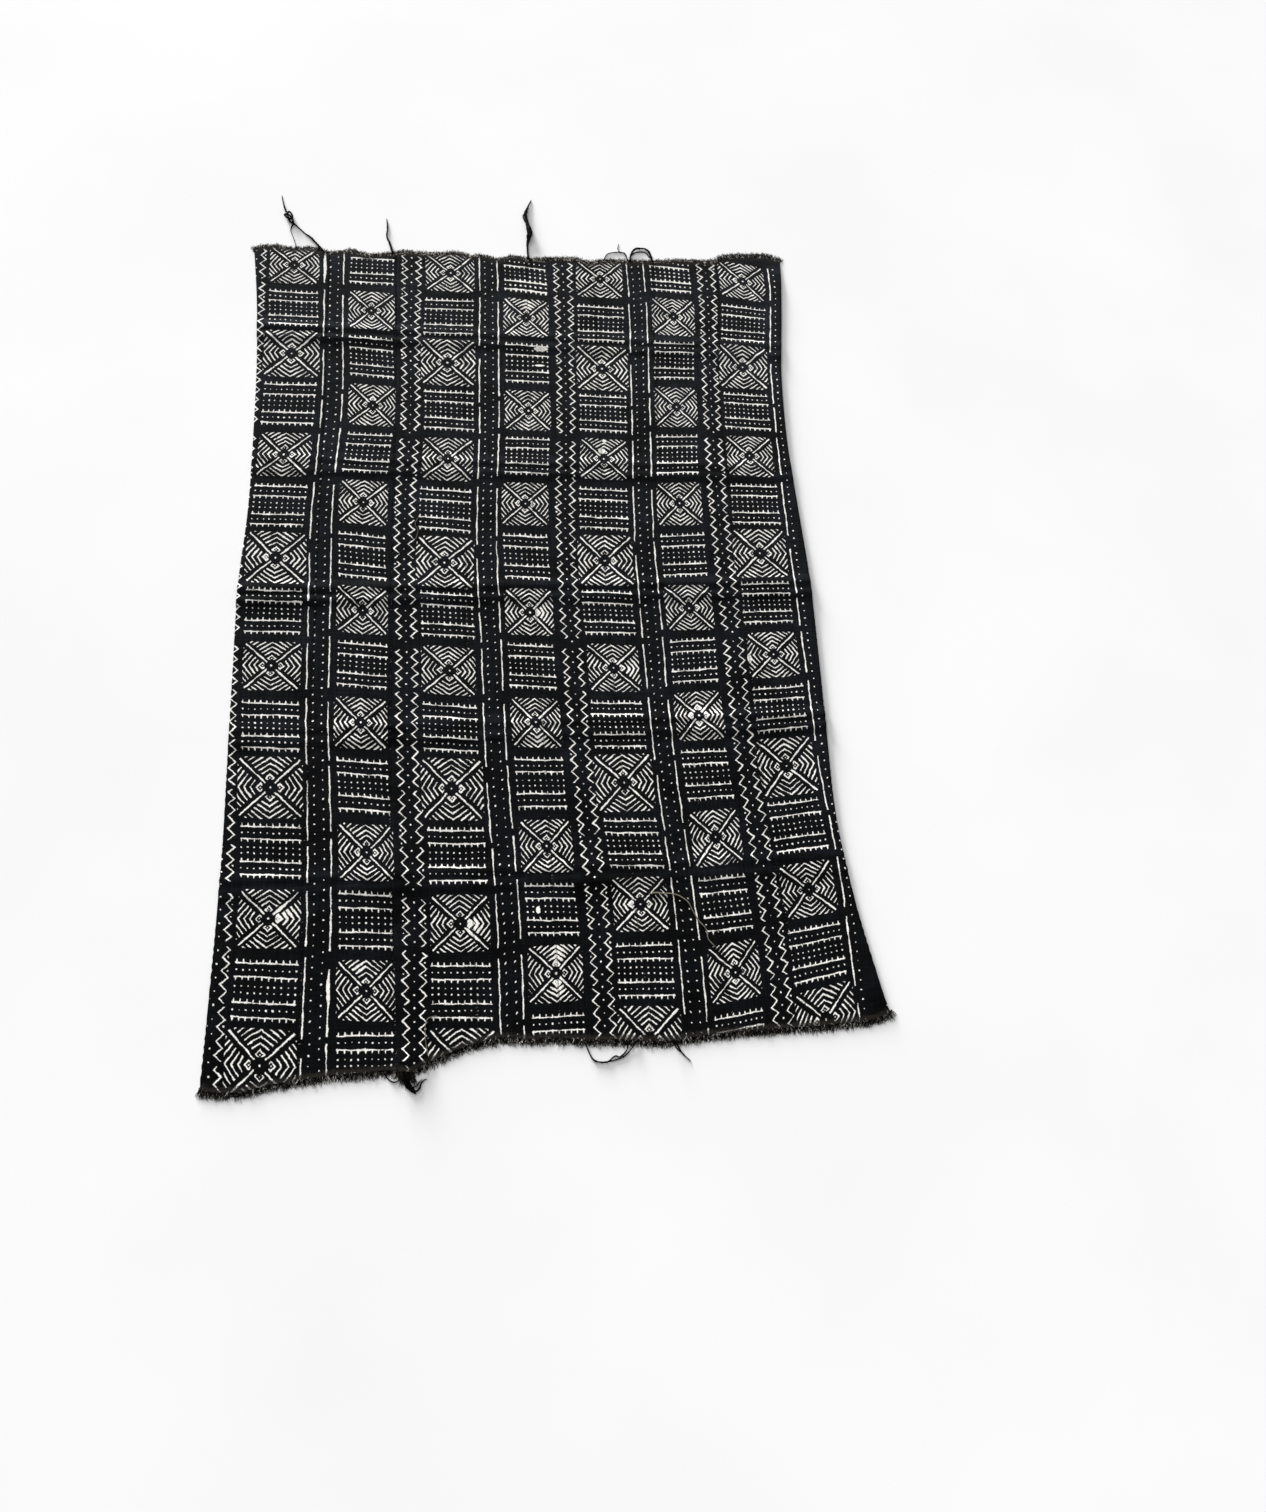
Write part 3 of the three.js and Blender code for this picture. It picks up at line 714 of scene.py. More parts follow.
def mud_dyed_cotton():
    """Handspun cotton in plain weave, stained with fermented mud round figures bleached back to cream: matt,
    slubby and deep blue black, with strokes that waver as a hand and a coarse yarn make them."""
    material, put, place = begin_material("mud_dyed_cotton")
    chart = put("ShaderNodeAttribute", attribute_name="chart").outputs["Vector"]
    stain_and_crease_shade = put("ShaderNodeAttribute", attribute_name="stain_and_crease_shade").outputs["Vector"]
    under = put("ShaderNodeAttribute", attribute_name="under").outputs["Fac"]
    # This attribute holds dark patches, widened strokes and the painted shade of the creases
    dark_patch, wide_stroke, crease_shade = put(SEPARATE, stain_and_crease_shade).outputs
    up_cloth = put(SEPARATE, place).outputs["Y"]

    # The hand wavers over 34 mm by 1.8 mm each way, and again over 7 mm by 1.1 mm
    sway = put(NOISE, place, 1 / 0.034, 1.0).outputs["Color"]
    sway = put("VECTOR MULTIPLY_ADD", sway, (3.6, 3.6, 0.0), (-1.8, -1.8, 0.0))
    shake = put(NOISE, place, 1 / 0.007, 1.0).outputs["Color"]
    shake = put("VECTOR MULTIPLY_ADD", shake, (2.2, 2.2, 0.0), (-1.1, -1.1, 0.0))
    painted = put("VECTOR ADD", put("VECTOR ADD", chart, sway), shake)
    painted = put(SEPARATE, painted).outputs
    distance = figure_distance(put, painted["X"], painted["Y"])

    # Strokes run thick and thin, are a little bolder towards the top, and their edges follow single yarns
    load = put("MULTIPLY_ADD", put(NOISE, place, 1 / 0.019, 1.0), 2.2, -1.1)
    yarn_edge = put("MULTIPLY_ADD", put(NOISE, place, 1 / 0.0022, 0.0), 1.4, -0.7)
    bolder = put(MAP, up_cloth, -0.6, 0.2, 0.0, 0.09)
    distance = put("ADD", put("SUBTRACT", distance, wide_stroke), load)
    distance = put("SUBTRACT", distance, bolder)
    for x, y, half_width, half_height in BLOTS:
        off = put("VECTOR SUBTRACT", place, tuple(to_frame([(x, y, 0)])[0]))
        off = put("VECTOR MULTIPLY", off, (1 / (half_width * MM), 1 / (half_height * MM), 0))
        off = put("MULTIPLY_ADD", put("VECTOR LENGTH", off), 5.0, -5.0)
        distance = put("MINIMUM", distance, off)
    distance = put("ADD", distance, yarn_edge)
    figure = put(MAP, distance, 0.45, -0.45, 0.0, 1.0, interpolation_type="SMOOTHSTEP")
    # Less than a third of the paint comes through to the underside
    figure = put("MULTIPLY", figure, put("MULTIPLY_ADD", under, -0.7, 1.0))

    # Dyed ground: clouds some 90 mm across and streaks along single yarns both ways, with painted light that
    # makes it paler towards the top
    ground = put(RAMP, put(NOISE, place, 1 / 0.09, 4.0, 0.6))
    set_stops(ground, [(0.30, "#0b0c0d"), (0.45, "#111213"), (0.56, "#131518"), (0.70, "#181a1e")])
    # Painted light: the ground grows paler towards the top
    ground = put("VECTOR MULTIPLY", ground, put(MAP, up_cloth, -0.9, 0.8, 0.5, 1.6))
    warp = put(NOISE, put("VECTOR MULTIPLY", place, (1 / 0.0028, 1 / 0.05, 0.0)), 1.0, 1.0)
    weft = put(NOISE, put("VECTOR MULTIPLY", place, (1 / 0.04, 1 / 0.003, 0.0)), 1.0, 1.0)
    slub = put("ADD", warp, weft)
    streak = put(MAP, slub, 0.7, 1.3, 0.62, 1.5)
    ground = put("VECTOR MULTIPLY", ground, streak)
    # Dark patches: deeper dye, and painted shade over the crumple
    ground = put(MIX, dark_patch, ground, linear("#060607"), data_type="RGBA")
    # Painted shade: the ground darkens along each fold's crease
    ground = put(MIX, put("MULTIPLY", crease_shade, 0.5), ground, linear("#020203"), data_type="RGBA")

    # Bleached figure: cream with a little of the dye left in it here and there
    cream = put(RAMP, put(NOISE, place, 1 / 0.012, 3.0))
    set_stops(cream, [(0.25, "#d8d5cd"), (0.42, "#efece6"), (0.60, "#faf8f4")])
    cream = put("VECTOR MULTIPLY", cream, put(MAP, streak, 0.62, 1.5, 0.86, 1.06))
    # Painted shade darkens the cream along the creases too
    cream = put(MIX, put("MULTIPLY", crease_shade, 0.22), cream, linear("#55534f"), data_type="RGBA")
    colour = put(MIX, figure, ground, cream, data_type="RGBA")

    # The last few millimetres before a cut end are worn brown grey
    from_end = put(SEPARATE, chart).outputs["Z"]
    worn = put("MULTIPLY_ADD", put(NOISE, place, 1 / 0.003, 2.0), -20.0, from_end)
    worn = put(MAP, worn, -5.0, -1.0, 0.85, 0.0)
    colour = put(MIX, worn, colour, linear("#282522"), data_type="RGBA")

    # Plain weave: warp and weft pass over and under by turns, drawn twice as coarse as the 1.3 mm yarns
    turn = math.pi / 0.0026
    phase = put(SEPARATE, put("VECTOR MULTIPLY", place, (turn, turn, 0.0))).outputs
    weave = put("MULTIPLY", put("SINE", phase["X"]), put("SINE", phase["Y"]))
    height = put("MULTIPLY_ADD", weave, 0.25, slub)
    bump = put("ShaderNodeBump", into={"Height": height, "Strength": 0.2, "Distance": 0.001})
    shader = put("ShaderNodeBsdfPrincipled", into={
        "Base Color": colour, "Roughness": 0.95, "IOR": 1.45, "Normal": bump, "Specular IOR Level": 0.03,
    })
    put("ShaderNodeOutputMaterial", shader)
    return material


def loose_cotton(name, colours):
    """Loose ends of handspun cotton, half stripped of dye and matt, each fibre its own shade."""
    material, put, place = begin_material(name)
    tint = put("ShaderNodeAttribute", attribute_name="tint").outputs["Fac"]
    shade = put("MULTIPLY_ADD", put(NOISE, place, 1 / 0.004, 2.0), 0.5, -0.25)
    ramp = set_stops(put(RAMP, put("ADD", shade, tint)), colours)
    fibre = put(NOISE, put("VECTOR MULTIPLY", place, (1 / 0.0006, 1 / 0.0006, 1 / 0.0006)), 1.0, 1.0)
    bump = put("ShaderNodeBump", into={"Height": fibre, "Strength": 0.5, "Distance": 0.0004})
    shader = put("ShaderNodeBsdfPrincipled", into={
        "Base Color": ramp, "Roughness": 0.95, "IOR": 1.45, "Normal": bump, "Specular IOR Level": 0.04,
    })
    put("ShaderNodeOutputMaterial", shader)
    return material


def painted_floor():
    """A smooth floor in matt white paint, with the faintest cloudiness from the roller."""
    material, put, place = begin_material("white_painted_floor")
    ramp = put(RAMP, put(NOISE, place, 1 / 0.6, 3.0))
    set_stops(ramp, [(0.3, "#f1f1f1"), (0.7, "#f6f6f6")])
    shader = put("ShaderNodeBsdfPrincipled", into={
        "Base Color": ramp, "Roughness": 0.9, "Specular IOR Level": 0.1,
    })
    put("ShaderNodeOutputMaterial", shader)
    return material


# Geometry Nodes
def begin_geometry(name, numbers):
    """A tree with a Geometry in and out, named inputs with their values, and a Material."""
    tree = bpy.data.node_groups.new(name, "GeometryNodeTree")
    tree.interface.new_socket("Geometry", in_out="INPUT", socket_type="NodeSocketGeometry")
    kinds = {int: "NodeSocketInt", float: "NodeSocketFloat"}
    for label, value in numbers.items():
        socket = tree.interface.new_socket(label, in_out="INPUT", socket_type=kinds[type(value)])
        socket.default_value = value
    tree.interface.new_socket("Material", in_out="INPUT", socket_type="NodeSocketMaterial")
    tree.interface.new_socket("Geometry", in_out="OUTPUT", socket_type="NodeSocketGeometry")
    return tree, partial(add, tree), add(tree, "NodeGroupInput").outputs


def end_geometry(tree, put, body, material):
    """Ends a tree with real faces in their material."""
    body = put("GeometryNodeRealizeInstances", body)
    body = put("GeometryNodeSetMaterial", into={"Geometry": body, "Material": material})
    put("NodeGroupOutput", body)
    return tree


def grow(source, tree, name, material, **sizes):
    """Runs a tree on an object with these sizes, and keeps the result as a plain mesh in its place."""
    modifier = source.modifiers.new("grow", "NODES")
    modifier.node_group = tree
    keys = {item.name: item.identifier for item in tree.interface.items_tree if item.in_out == "INPUT"}
    modifier[keys["Material"]] = material
    for label, value in sizes.items():
        modifier[keys[label.replace("_", " ").capitalize()]] = value
    graph = bpy.context.evaluated_depsgraph_get()
    mesh = bpy.data.meshes.new_from_object(source.evaluated_get(graph))
    source.modifiers.clear()
    bpy.data.objects.remove(source)
    made = bpy.data.objects.new(name, mesh)
    mesh.name = name
    bpy.context.scene.collection.objects.link(made)
    return made


# How far a strand's root strays along the line, its points, how much longer or shorter a tuft of neighbours
# is, and how far a strand has come down and thinned at its tip
STRAND = {"stray_m": 0.0006, "points": 6, "tuft_m": 0.007, "tuft": (0.72, 1.08), "drop": 0.75, "taper": 0.55}


def frayed_end():
    """Loose warp ends along an edge line: each lies out from it, wanders, and tapers."""
    sizes = {
        "Strands": 1000, "Reach": 12.0, "Spread": 0.45, "Direction": 0.0, "Fan": 1.3, "Radius": 0.3,
        "Wander": 2.0, "Rise": 1.0, "Inset": 2.5, "Seed": 1,
    }
    tree, put, given = begin_geometry("frayed end", sizes)
    line = put("GeometryNodeMeshToCurve", given["Geometry"])
    roots = put(RESAMPLE, into={"Curve": line, "Count": given["Strands"]})
    # Roots start inside the weave's end, one above another
    stray = STRAND["stray_m"]
    jitter = put(RANDOM, (-stray, 0.0, 0.0), (stray, 1.0, 1.0), data_type="FLOAT_VECTOR",
                 into={"Seed": given["Seed"]})
    aside, inward, upward = put(SEPARATE, jitter).outputs
    back = put("MULTIPLY", inward, put("MULTIPLY", given["Inset"], MM))
    back = put("MULTIPLY", put("MULTIPLY", back, put("COSINE", given["Direction"])), -1.0)
    up = put("MULTIPLY", upward, put("MULTIPLY", given["Rise"], MM))
    root_shift = put(COMBINE, aside, back, up)
    roots = put(MOVE, into={"Geometry": roots, "Offset": root_shift})
    # One strand, a metre long before it is scaled
    strand = put("GeometryNodeCurvePrimitiveLine", (0, 0, 0), (0, 1, 0))
    strand = put(RESAMPLE, into={"Curve": strand, "Count": STRAND["points"]})
    shortest = put("MULTIPLY_ADD", given["Spread"], -1.0, 1.0)
    length = put(RANDOM, shortest, 1.0, into={"Seed": 21})
    length = put("MULTIPLY", length, given["Reach"])
    # Neighbours mat together into tufts some 7 mm across, longer and shorter
    tuft = put(NOISE, put(POSITION), 1 / STRAND["tuft_m"], 1.0)
    length = put("MULTIPLY", length, put(MAP, tuft, 0.3, 0.7, *STRAND["tuft"]))
    scale = put(COMBINE, 1.0, put("MULTIPLY", length, MM), 1.0)
    lean = put(RANDOM, -0.5, 0.5, into={"Seed": 22})
    lean = put("ADD", put("MULTIPLY", lean, given["Fan"]), given["Direction"])
    turn = put(COMBINE, 0.0, 0.0, lean)
    strands = put("GeometryNodeInstanceOnPoints", into={
        "Points": roots, "Instance": strand, "Rotation": turn, "Scale": scale,
    })
    tint = put(RANDOM, 0.0, 1.0, into={"Seed": 23})
    strands = put(STORE, strands, None, "tint", tint, domain="INSTANCE")
    strands = put("GeometryNodeRealizeInstances", strands)
    # Each strand wanders more towards its tip, and comes down to the floor
    along = put("GeometryNodeSplineParameter").outputs["Factor"]
    own_shift = put("MULTIPLY", put(NAMED, "tint"), 0.02)
    own_place = put("VECTOR ADD", put(POSITION), own_shift)
    curl = put("VECTOR SUBTRACT", put(NOISE, own_place, 1 / 0.005, 1.0).outputs["Color"], (0.5, 0.5, 0.5))
    swing = put("MULTIPLY", along, put("MULTIPLY", given["Wander"], MM * 5))
    curl = put("VECTOR MULTIPLY", curl, swing)
    strands = put(MOVE, into={"Geometry": strands, "Offset": curl})
    x, y, z = put(SEPARATE, put(POSITION)).outputs
    radius = put("MULTIPLY", given["Radius"], MM)
    low = put("MAXIMUM", put("MULTIPLY", z, put("MULTIPLY_ADD", along, -STRAND["drop"], 1.0)), radius)
    settled = put(COMBINE, x, y, low)
    strands = put(MOVE, into={"Geometry": strands, "Position": settled})
    taper = put("MULTIPLY_ADD", along, -STRAND["taper"], 1.0)
    section = put(CIRCLE, into={"Resolution": 3, "Radius": radius})
    body = put(SWEEP, strands, section, taper, True)
    return end_geometry(tree, put, body, given["Material"])


def plied_yarn():
    """Yarn along a path: plies wound round each other, as thick at each place as the path says."""
    tree, put, given = begin_geometry("plied yarn", {"Plies": 3, "Turn": 9.0, "Step": 1.6})
    line = put("GeometryNodeMeshToCurve", given["Geometry"])
    step = put("MULTIPLY", given["Step"], MM)
    line = put(RESAMPLE, mode="LENGTH", into={"Curve": line, "Length": step})
    plies = put("GeometryNodeDuplicateElements", line, None, given["Plies"], domain="SPLINE")
    share = put("DIVIDE", plies.outputs["Duplicate Index"], given["Plies"])
    plies = put(STORE, plies, None, "ply", share)
    ply = put(NAMED, "ply")
    thick = put(NAMED, "thick")
    length = put("GeometryNodeSplineParameter").outputs["Length"]
    angle = put("ADD", put("DIVIDE", length, put("MULTIPLY", given["Turn"], MM)), ply)
    angle = put("MULTIPLY", angle, math.tau)
    sideways = put("GeometryNodeInputNormal")
    along = put("GeometryNodeInputTangent")
    offset = put("ShaderNodeVectorRotate", into={"Vector": sideways, "Axis": along, "Angle": angle})
    reach = put("MULTIPLY", thick, 0.5)
    offset = put("VECTOR MULTIPLY", offset, reach)
    # Slack plies stray from the twist by up to half their own width
    own_place = put("VECTOR ADD", put(POSITION), ply)
    stray = put("VECTOR SUBTRACT", put(NOISE, own_place, 1 / 0.006, 1.0).outputs["Color"], (0.5, 0.5, 0.5))
    offset = put("VECTOR MULTIPLY_ADD", stray, thick, offset)
    plies = put(MOVE, into={"Geometry": plies, "Offset": offset})
    x, y, z = put(SEPARATE, put(POSITION)).outputs
    settled = put(COMBINE, x, y, put("MAXIMUM", z, reach))
    plies = put(MOVE, into={"Geometry": plies, "Position": settled})
    section = put(CIRCLE, into={"Resolution": 5, "Radius": 1.0})
    body = put(SWEEP, plies, section, reach, True)
    body = put("GeometryNodeSetShadeSmooth", body)
    return end_geometry(tree, put, body, given["Material"])


def whip_stitches():
    """Slanted stitches over a seam: a small arch of yarn at every point, each a little off."""
    sizes = {"Width": 3.4, "Slant": 1.5, "Height": 0.9, "Radius": 0.35}
    tree, put, given = begin_geometry("whip stitches", sizes)
    half = put("MULTIPLY", given["Width"], MM / 2)
    start = put(COMBINE, put("MULTIPLY", half, -1.0), 0.0, 0.0)
    middle = put(COMBINE, 0.0, 0.0, put("MULTIPLY", given["Height"], MM * 2))
    end = put(COMBINE, half, put("MULTIPLY", given["Slant"], MM), 0.0)
    arch = put("GeometryNodeCurveQuadraticBezier", 5, start, middle, end)
    radius = put("MULTIPLY", given["Radius"], MM)
    section = put(CIRCLE, into={"Resolution": 4, "Radius": radius})
    stitch = put(SWEEP, arch, section)
    turn = put(RANDOM, (-0.05, -0.05, -0.3), (0.05, 0.05, 0.3), data_type="FLOAT_VECTOR", into={"Seed": 5})
    size = put(RANDOM, (0.8, 0.8, 0.8), (1.15, 1.15, 1.1), data_type="FLOAT_VECTOR", into={"Seed": 6})
    stitches = put("GeometryNodeInstanceOnPoints", into={
        "Points": given["Geometry"], "Instance": stitch, "Rotation": turn, "Scale": size,
    })
    tint = put(RANDOM, 0.0, 1.0, into={"Seed": 7})
    stitches = put(STORE, stitches, None, "tint", tint, domain="INSTANCE")
    return end_geometry(tree, put, stitches, given["Material"])


# Camera, at the photograph's place and angle
CAMERA = {
    "place_m": (-0.0762, -0.8644, 1.6273), "lens": 22.62, "sensor": 36.0,
    "toward": (0.13237, 0.29221, -0.94715), "up": (0.03101, 0.95387, 0.29861),
}
# Soft lights so far off that they fall evenly: azimuth from +X towards +Y, elevation and width in degrees,
# and strength. A key, and two that skim over the cloth from past its top edge for the long shadow below it.
SUNS = {"key": (112, 32, 22, 1.1), "skim": (116, 9, 14, 7.0), "low_skim": (104, 5, 7, 4.2)}
SKY_STRENGTH = 0.41
FLOOR_REACH = 6000


def set_camera():
    lens = bpy.data.cameras.new("camera")
    camera = bpy.data.objects.new("camera", lens)
    bpy.context.scene.collection.objects.link(camera)
    toward = Vector(CAMERA["toward"]).normalized()
    right = toward.cross(Vector(CAMERA["up"]).normalized()).normalized()
    turn = Matrix((right, right.cross(toward), -toward)).transposed().to_4x4()
    camera.matrix_world = Matrix.Translation(CAMERA["place_m"]) @ turn
    lens.sensor_width = CAMERA["sensor"]
    lens.lens = CAMERA["lens"]
    lens.clip_start = 0.05
    lens.clip_end = 50.0
    bpy.context.scene.camera = camera


def set_studio():
    """A pale floor under even light from all round, and the three soft suns."""
    corners = [(x * FLOOR_REACH, y * FLOOR_REACH, 0) for x, y in ((-1, -1), (1, -1), (1, 1), (-1, 1))]
    floor = mesh_object("floor", corners, [(0, 1, 2, 3)])
    floor.data.materials.append(painted_floor())
    for name, (azimuth, elevation, width, strength) in SUNS.items():
        lamp = bpy.data.lights.new(name, "SUN")
        lamp.angle = math.radians(width)
        lamp.energy = strength
        made = bpy.data.objects.new(name, lamp)
        bpy.context.scene.collection.objects.link(made)
        flat, rise = math.radians(azimuth), math.radians(elevation)
        toward = Vector((math.cos(flat) * math.cos(rise), math.sin(flat) * math.cos(rise), math.sin(rise)))
        made.rotation_euler = toward.to_track_quat("Z", "Y").to_euler()
    world = bpy.data.worlds.new("studio")
    world.use_nodes = True
    sky = world.node_tree.nodes["Background"]
    sky.inputs["Color"].default_value = (1, 1, 1, 1)
    sky.inputs["Strength"].default_value = SKY_STRENGTH
    bpy.context.scene.world = world
    bpy.context.scene.view_settings.view_transform = "Standard"


set_camera()
set_studio()

# Cottons, each from its darkest shade to its palest
COTTONS = {
    "frayed_cotton": (
        (0.0, "#11100f"), (0.35, "#21201e"), (0.62, "#373431"), (0.86, "#4c4843"), (0.95, "#d9d4ca"),
    ),
    "frayed_grey_cotton": (
        (0.0, "#0c0c0d"), (0.35, "#1a1a1b"), (0.62, "#2b2b2b"), (0.88, "#413f3c"), (0.97, "#c4c0b8"),
    ),
    "frayed_dark_cotton": (
        (0.0, "#070606"), (0.35, "#100f0e"), (0.62, "#1c1a18"), (0.86, "#2b2825"), (0.95, "#dcd7cd"),
    ),
    "matted_cotton": ((0.0, "#0b0a0a"), (0.35, "#171513"), (0.65, "#2a2825"), (0.9, "#454039")),
    "loose_thread": ((0.0, "#191715"), (0.45, "#2a2725"), (0.8, "#45413b"), (1.0, "#7d766b")),
    "bleached_thread": ((0.0, "#6b655b"), (0.5, "#968e82"), (1.0, "#c4bcae")),
    "seam_thread": ((0.0, "#0d0d0e"), (0.5, "#18181a"), (0.8, "#303035"), (1.0, "#77746d")),
}
dyed = mud_dyed_cotton()
loose = {name: loose_cotton(name, shades) for name, shades in COTTONS.items()}

# The eight strips
for number in range(1, 9):
    piece = make_strip(number)
    piece.data.materials.append(dyed)
    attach(piece, "root")
    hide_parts(f"strip_{number}")

# Whip stitches down the seven seams
STITCH = {"pitch": 5.5, "from_end": 4.0, "sunk": 0.15}


def seam_points():
    points = []
    for line, strip in zip(LINES[1:-1], range(1, 8)):
        low = weave_end(strip, edge_x(line, -780.0), False) + STITCH["from_end"]
        high = weave_end(strip, edge_x(line, 850.0), True) - STITCH["from_end"]
        y = np.arange(low, high, STITCH["pitch"])
        x = edge_x(line, y)
        z = surface_lift(x, y, strip) + CLOTH["thick"] - SELVAGE["pucker"] - STITCH["sunk"]
        points.append(np.column_stack([x, y, z]))
    return np.concatenate(points)


stitches = mesh_object("seam_points", seam_points())
stitches = grow(stitches, whip_stitches(), "seam_stitches", loose["seam_thread"])
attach(stitches, "root")


# Frayed ends
def chain(points, start=0):
    return [(start + i, start + i + 1) for i in range(len(points) - 1)]


# Roots lie 1 mm inside the weave's end, 0.6 mm up and 2 mm apart
ROOTS = {"inside": 1.0, "up": 0.6, "step": 2.0}
# The frayed ends. Way is +1 where the cloth lies above the end
ENDS = (
    {"name": "frayed_top", "node": "fray_top", "cotton": "frayed_cotton", "tips": TOP_TIPS,
     "way": -1, "depth": FRAY_DEPTH["top"], "first": -541, "last": 431,
     "strands": 5800, "reach": 15.0, "fan": 1.5, "radius": 0.45},
    {"name": "frayed_top_right", "node": "fray_top_right", "cotton": "frayed_grey_cotton",
     "tips": TOP_RIGHT_TIPS, "way": -1, "depth": FRAY_DEPTH["top_right"], "first": 433, "last": 574,
     "strands": 900, "reach": 20.0, "fan": 1.5, "radius": 0.5},
    {"name": "frayed_bottom", "node": "fray_bottom", "cotton": "frayed_dark_cotton", "tips": BOTTOM_TIPS,
     "way": 1, "depth": FRAY_DEPTH["bottom"], "first": -547, "last": 584,
     "strands": 6200, "reach": 17.0, "fan": 1.8, "radius": 0.5},
)
fray_tree = frayed_end()
for number, end in enumerate(ENDS):
    x = np.arange(end["first"], end["last"], ROOTS["step"])
    y = np.interp(x, *end["tips"].T) + end["way"] * (end["depth"] + ROOTS["inside"])
    line = np.column_stack([x, y, np.full_like(x, ROOTS["up"])])
    source = mesh_object("end_line", line, edges=chain(line))
    piece = grow(source, fray_tree, end["name"], loose[end["cotton"]], strands=end["strands"],
                 reach=end["reach"], direction=math.pi if end["way"] > 0 else 0.0, fan=end["fan"], rise=1.7,
                 radius=end["radius"], wander=3.4, seed=number + 1)
    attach(piece, "root")
    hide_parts(end["node"])

# Loose threads at the two ends, and threads that lie on the cloth: x, y, half width
TOP_THREADS = {
    "knotted": ((-403, 846, 2.4), (-425, 876, 2.2), (-440, 890, 1.5), (-452, 903, 1.4), (-462, 913, 2.2)),
    "knot_tail": ((-480, 944, 2.4), (-485, 962, 1.5), (-488, 975, 1.1), (-490, 988, 0.8)),
    "knot_stub": ((-463, 916, 1.8), (-468, 905, 1.3), (-469, 895, 0.8), (-463, 878, 0.7), (-457, 856, 0.8)),
    "single": ((-262, 846, 2.8), (-268, 872, 2.5), (-274, 890, 1.8), (-273, 915, 1.7), (-275, 938, 0.9)),
    "bunch": (
        (20, 844, 3.0), (19, 868, 2.4), (20, 888, 3.4), (24, 905, 5.8), (23, 925, 5.2), (20, 948, 3.6),
        (18, 964, 4.0), (24, 985, 2.3), (32, 1006, 1.0),
    ),
    "bunch_side": (
        (21, 900, 2.0), (29, 912, 2.4), (27, 930, 2.0), (15, 950, 1.6), (13, 962, 1.4), (19, 972, 1.0),
    ),
    "low_loop": (
        (181, 848, 1.4), (190, 866, 1.3), (206, 872, 1.2), (222, 873, 1.3), (230, 867, 1.6), (233, 850, 1.6),
    ),
    "loop_hair": ((220, 872, 1.0), (214, 882, 0.8), (217, 896, 0.6)),
    "high_loop": (
        (238, 850, 2.4), (243, 870, 2.2), (252, 882, 2.7), (264, 885, 2.0), (277, 883, 2.0), (283, 872, 2.6),
        (288, 850, 2.4),
    ),
    "inner_loop": ((243, 866, 1.6), (252, 874, 1.4), (266, 877, 1.1), (276, 874, 1.1), (282, 862, 1.5)),
}
BOTTOM_THREADS = {
    "corner_loop": (
        (-266, -783, 1.0), (-262, -791, 1.1), (-253, -797, 1.3), (-245, -795, 1.2), (-240, -786, 1.0),
    ),
    "corner": ((-238, -778, 3.4), (-237, -792, 3.6), (-233, -803, 3.0), (-226, -811, 2.2), (-218, -817, 1.4)),
    "corner_thick": ((-229, -778, 3.4), (-229, -792, 3.2), (-229, -800, 2.4), (-224, -809, 1.8)),
    "corner_hook": (
        (-226, -804, 2.0), (-219, -813, 2.0), (-213, -810, 1.8), (-210, -802, 1.5), (-206, -798, 1.1),
        (-201, -796, 0.6),
    ),
    "corner_tail": ((-225, -807, 1.2), (-218, -806, 1.0), (-213, -800, 0.9), (-208, -796, 0.5)),
    "loop": (
        (54, -758, 1.4), (61, -777, 1.3), (67, -786, 1.6), (77, -790, 1.5), (90, -790, 1.6), (102, -782, 1.3),
        (110, -784, 1.3), (121, -775, 1.3), (126, -760, 1.2),
    ),
    "loop_side": ((86, -791, 1.0), (104, -788, 1.2), (118, -783, 1.3), (129, -773, 1.2), (142, -758, 1.3)),
    "tail": ((203, -764, 2.2), (213, -784, 1.4), (227, -799, 0.8)),
    "tail_side": ((198, -764, 1.4), (206, -778, 1.0), (216, -787, 0.6)),
}
LYING_THREADS = {
    "long": (
        (178, -520, 1.7), (190, -518, 1.5), (204, -520, 1.4), (217, -521, 1.4), (231, -526, 1.4),
        (245, -538, 1.5), (254, -558, 1.4), (262, -572, 1.5), (272, -585, 1.3), (275, -603, 1.4),
        (285, -616, 1.2),
    ),
    "short": ((-184, -700, 0.9), (-200, -705, 0.9), (-203, -730, 0.9), (-199, -760, 0.9)),
    "hair": ((-212, 218, 0.8), (-217, 205, 0.8), (-212, 190, 0.7), (-216, 173, 0.7)),
}

# How threads lie: clear of what they rest on, and up over the cloth's edge within the step
THREAD = {"least": 0.4, "clear": 0.1, "samples": 10, "top": 857.0, "bottom": -780.0, "step": 14.0}
# The thread's knot, three turns of yarn pulled tight
KNOT = {"x": -472, "y": 929, "width": 2.6, "height": 5.4, "lean": 25, "low": 2.6, "rise": 1.8, "thick": 2.3}
# The torn tuft hangs from the lower edge, where the cloth is crumpled
TUFT = {"first": -247, "last": -224, "y": -781, "up": 1.0, "roots": 30}


def strip_at(x, y):
    """The number of the strip that lies under each place."""
    return 1 + sum(x > edge_x(line, y) for line in LINES[1:-1])


def thread_path(rows, over_cloth=False):
    """A fine path through a thread's rows, on the floor or on the cloth, with its half width in metres."""
    rows = np.array(rows, float)
    knots = np.arange(len(rows), dtype=float)
    at = np.linspace(0, len(rows) - 1, THREAD["samples"] * len(rows))
    x, y, thick = (smooth(knots, rows[:, k], at) for k in range(3))
    z = np.maximum(thick, THREAD["least"]) + THREAD["clear"]
    if over_cloth:
        z += surface_lift(x, y, strip_at(x, y)) + CLOTH["thick"]
    else:
        inside = np.minimum(THREAD["top"] - y, y - THREAD["bottom"])
        z += CLOTH["thick"] * soft_step(inside, 0, THREAD["step"])
    return np.column_stack([x, y, z]), thick * MM


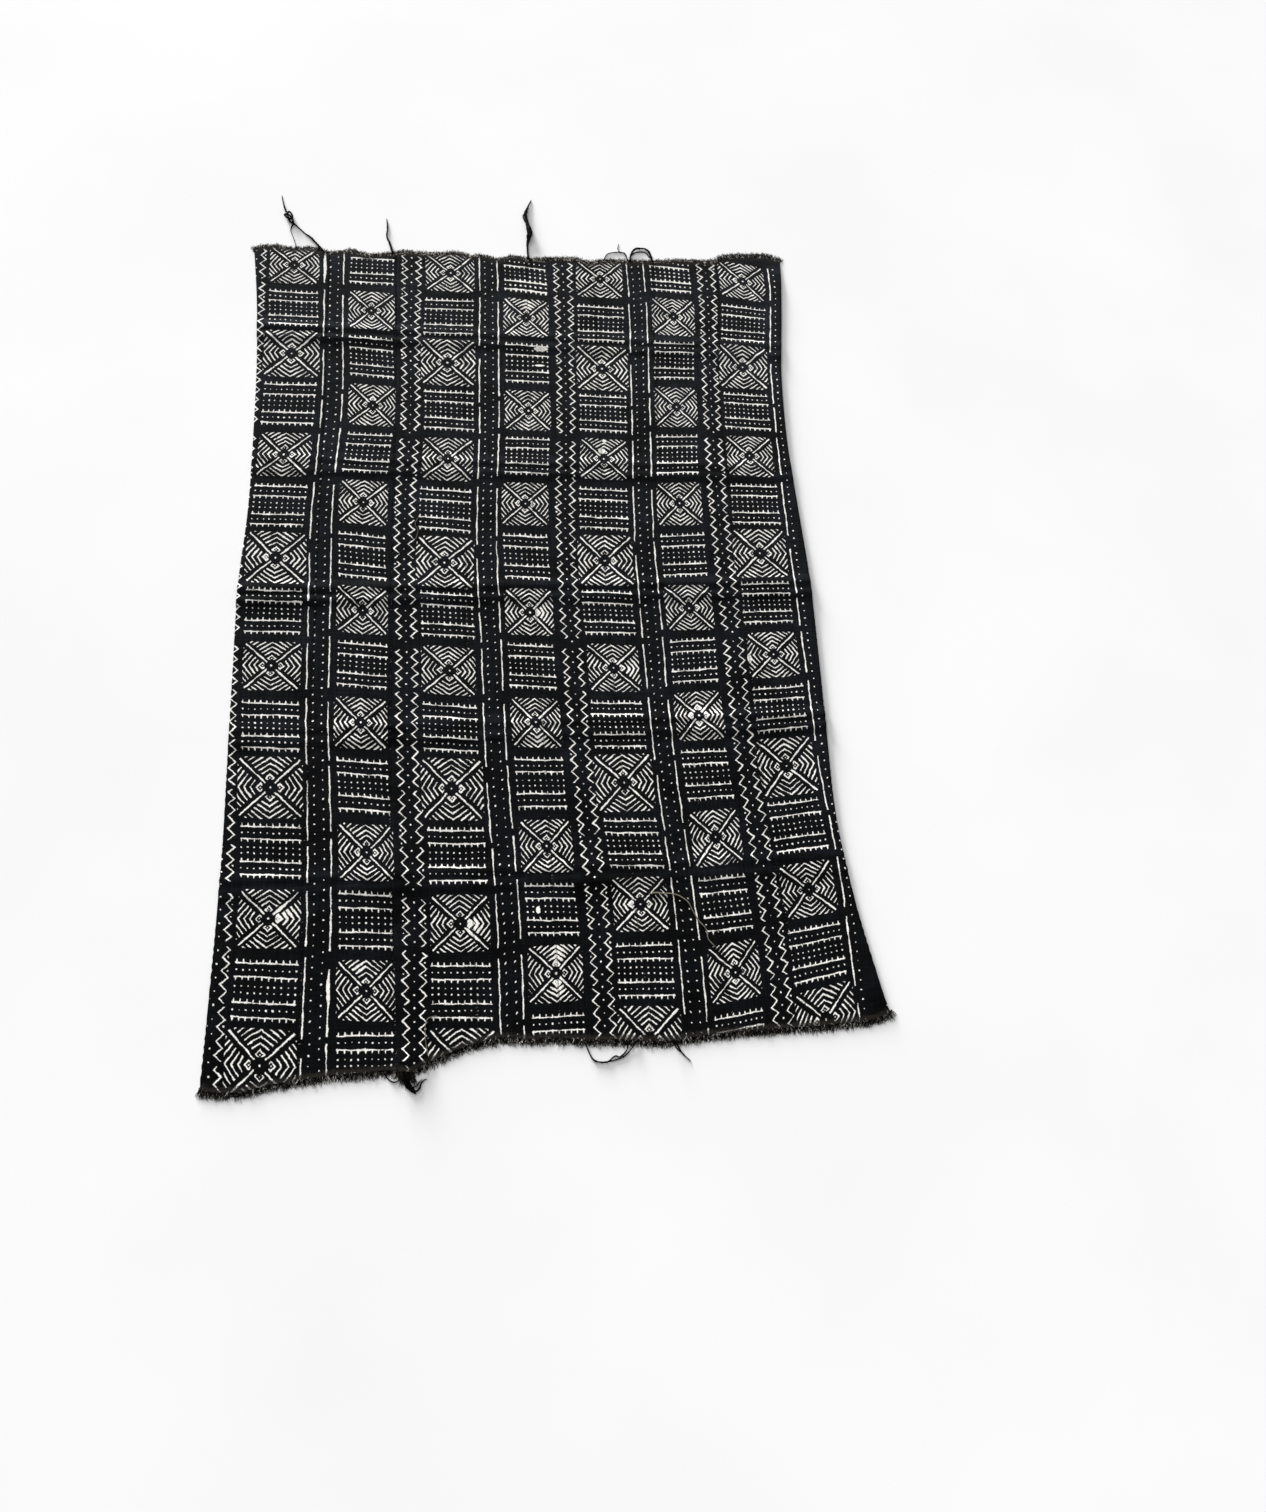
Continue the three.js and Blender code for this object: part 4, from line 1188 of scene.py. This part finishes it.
def knot_path():
    """The knot's path, a trefoil pulled long and leaning, with its half width in metres."""
    t = np.linspace(0, 2 * math.pi, 90)
    x = KNOT["width"] * (np.sin(t) + 2 * np.sin(2 * t))
    y = KNOT["height"] * (np.cos(t) - 2 * np.cos(2 * t))
    z = KNOT["low"] + KNOT["rise"] * (1 - np.sin(3 * t))
    cos, sin = math.cos(math.radians(KNOT["lean"])), math.sin(math.radians(KNOT["lean"]))
    points = np.column_stack([KNOT["x"] + x * cos - y * sin, KNOT["y"] + x * sin + y * cos, z])
    return points, np.full(len(t), KNOT["thick"] * MM)


def lay_yarn(name, paths, material, plies=3, turn=9.0):
    """One piece of plied yarn along all of these paths."""
    edges, start = [], 0
    for points, _ in paths:
        edges += chain(points, start)
        start += len(points)
    source = mesh_object("thread_paths", np.concatenate([points for points, _ in paths]), edges=edges)
    store(source.data, "thick", "FLOAT", np.concatenate([thick for _, thick in paths]))
    made = grow(source, yarn_tree, name, material, plies=plies, turn=turn)
    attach(made, "root")


yarn_tree = plied_yarn()
top_paths = [thread_path(rows) for rows in TOP_THREADS.values()]
bottom_paths = [thread_path(rows) for rows in BOTTOM_THREADS.values()]
lying_paths = [thread_path(rows, over_cloth=True) for rows in LYING_THREADS.values()]
lay_yarn("loose_threads_top", top_paths, loose["loose_thread"])
lay_yarn("loose_threads_bottom", bottom_paths, loose["matted_cotton"])
lay_yarn("threads_on_cloth", lying_paths, loose["bleached_thread"], plies=2, turn=6.0)
lay_yarn("thread_knot", [knot_path()], loose["matted_cotton"], turn=7.0)

tuft_x = np.linspace(TUFT["first"], TUFT["last"], TUFT["roots"])
tuft_line = np.column_stack([tuft_x, np.full_like(tuft_x, TUFT["y"]), np.full_like(tuft_x, TUFT["up"])])
tuft = mesh_object("tuft_line", tuft_line, edges=chain(tuft_line))
tuft = grow(tuft, fray_tree, "torn_tuft", loose["matted_cotton"], strands=190, reach=31.0, spread=0.75,
            direction=math.pi + 0.2, fan=0.5, rise=4.0, radius=0.6, wander=3.6, seed=9)
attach(tuft, "root")
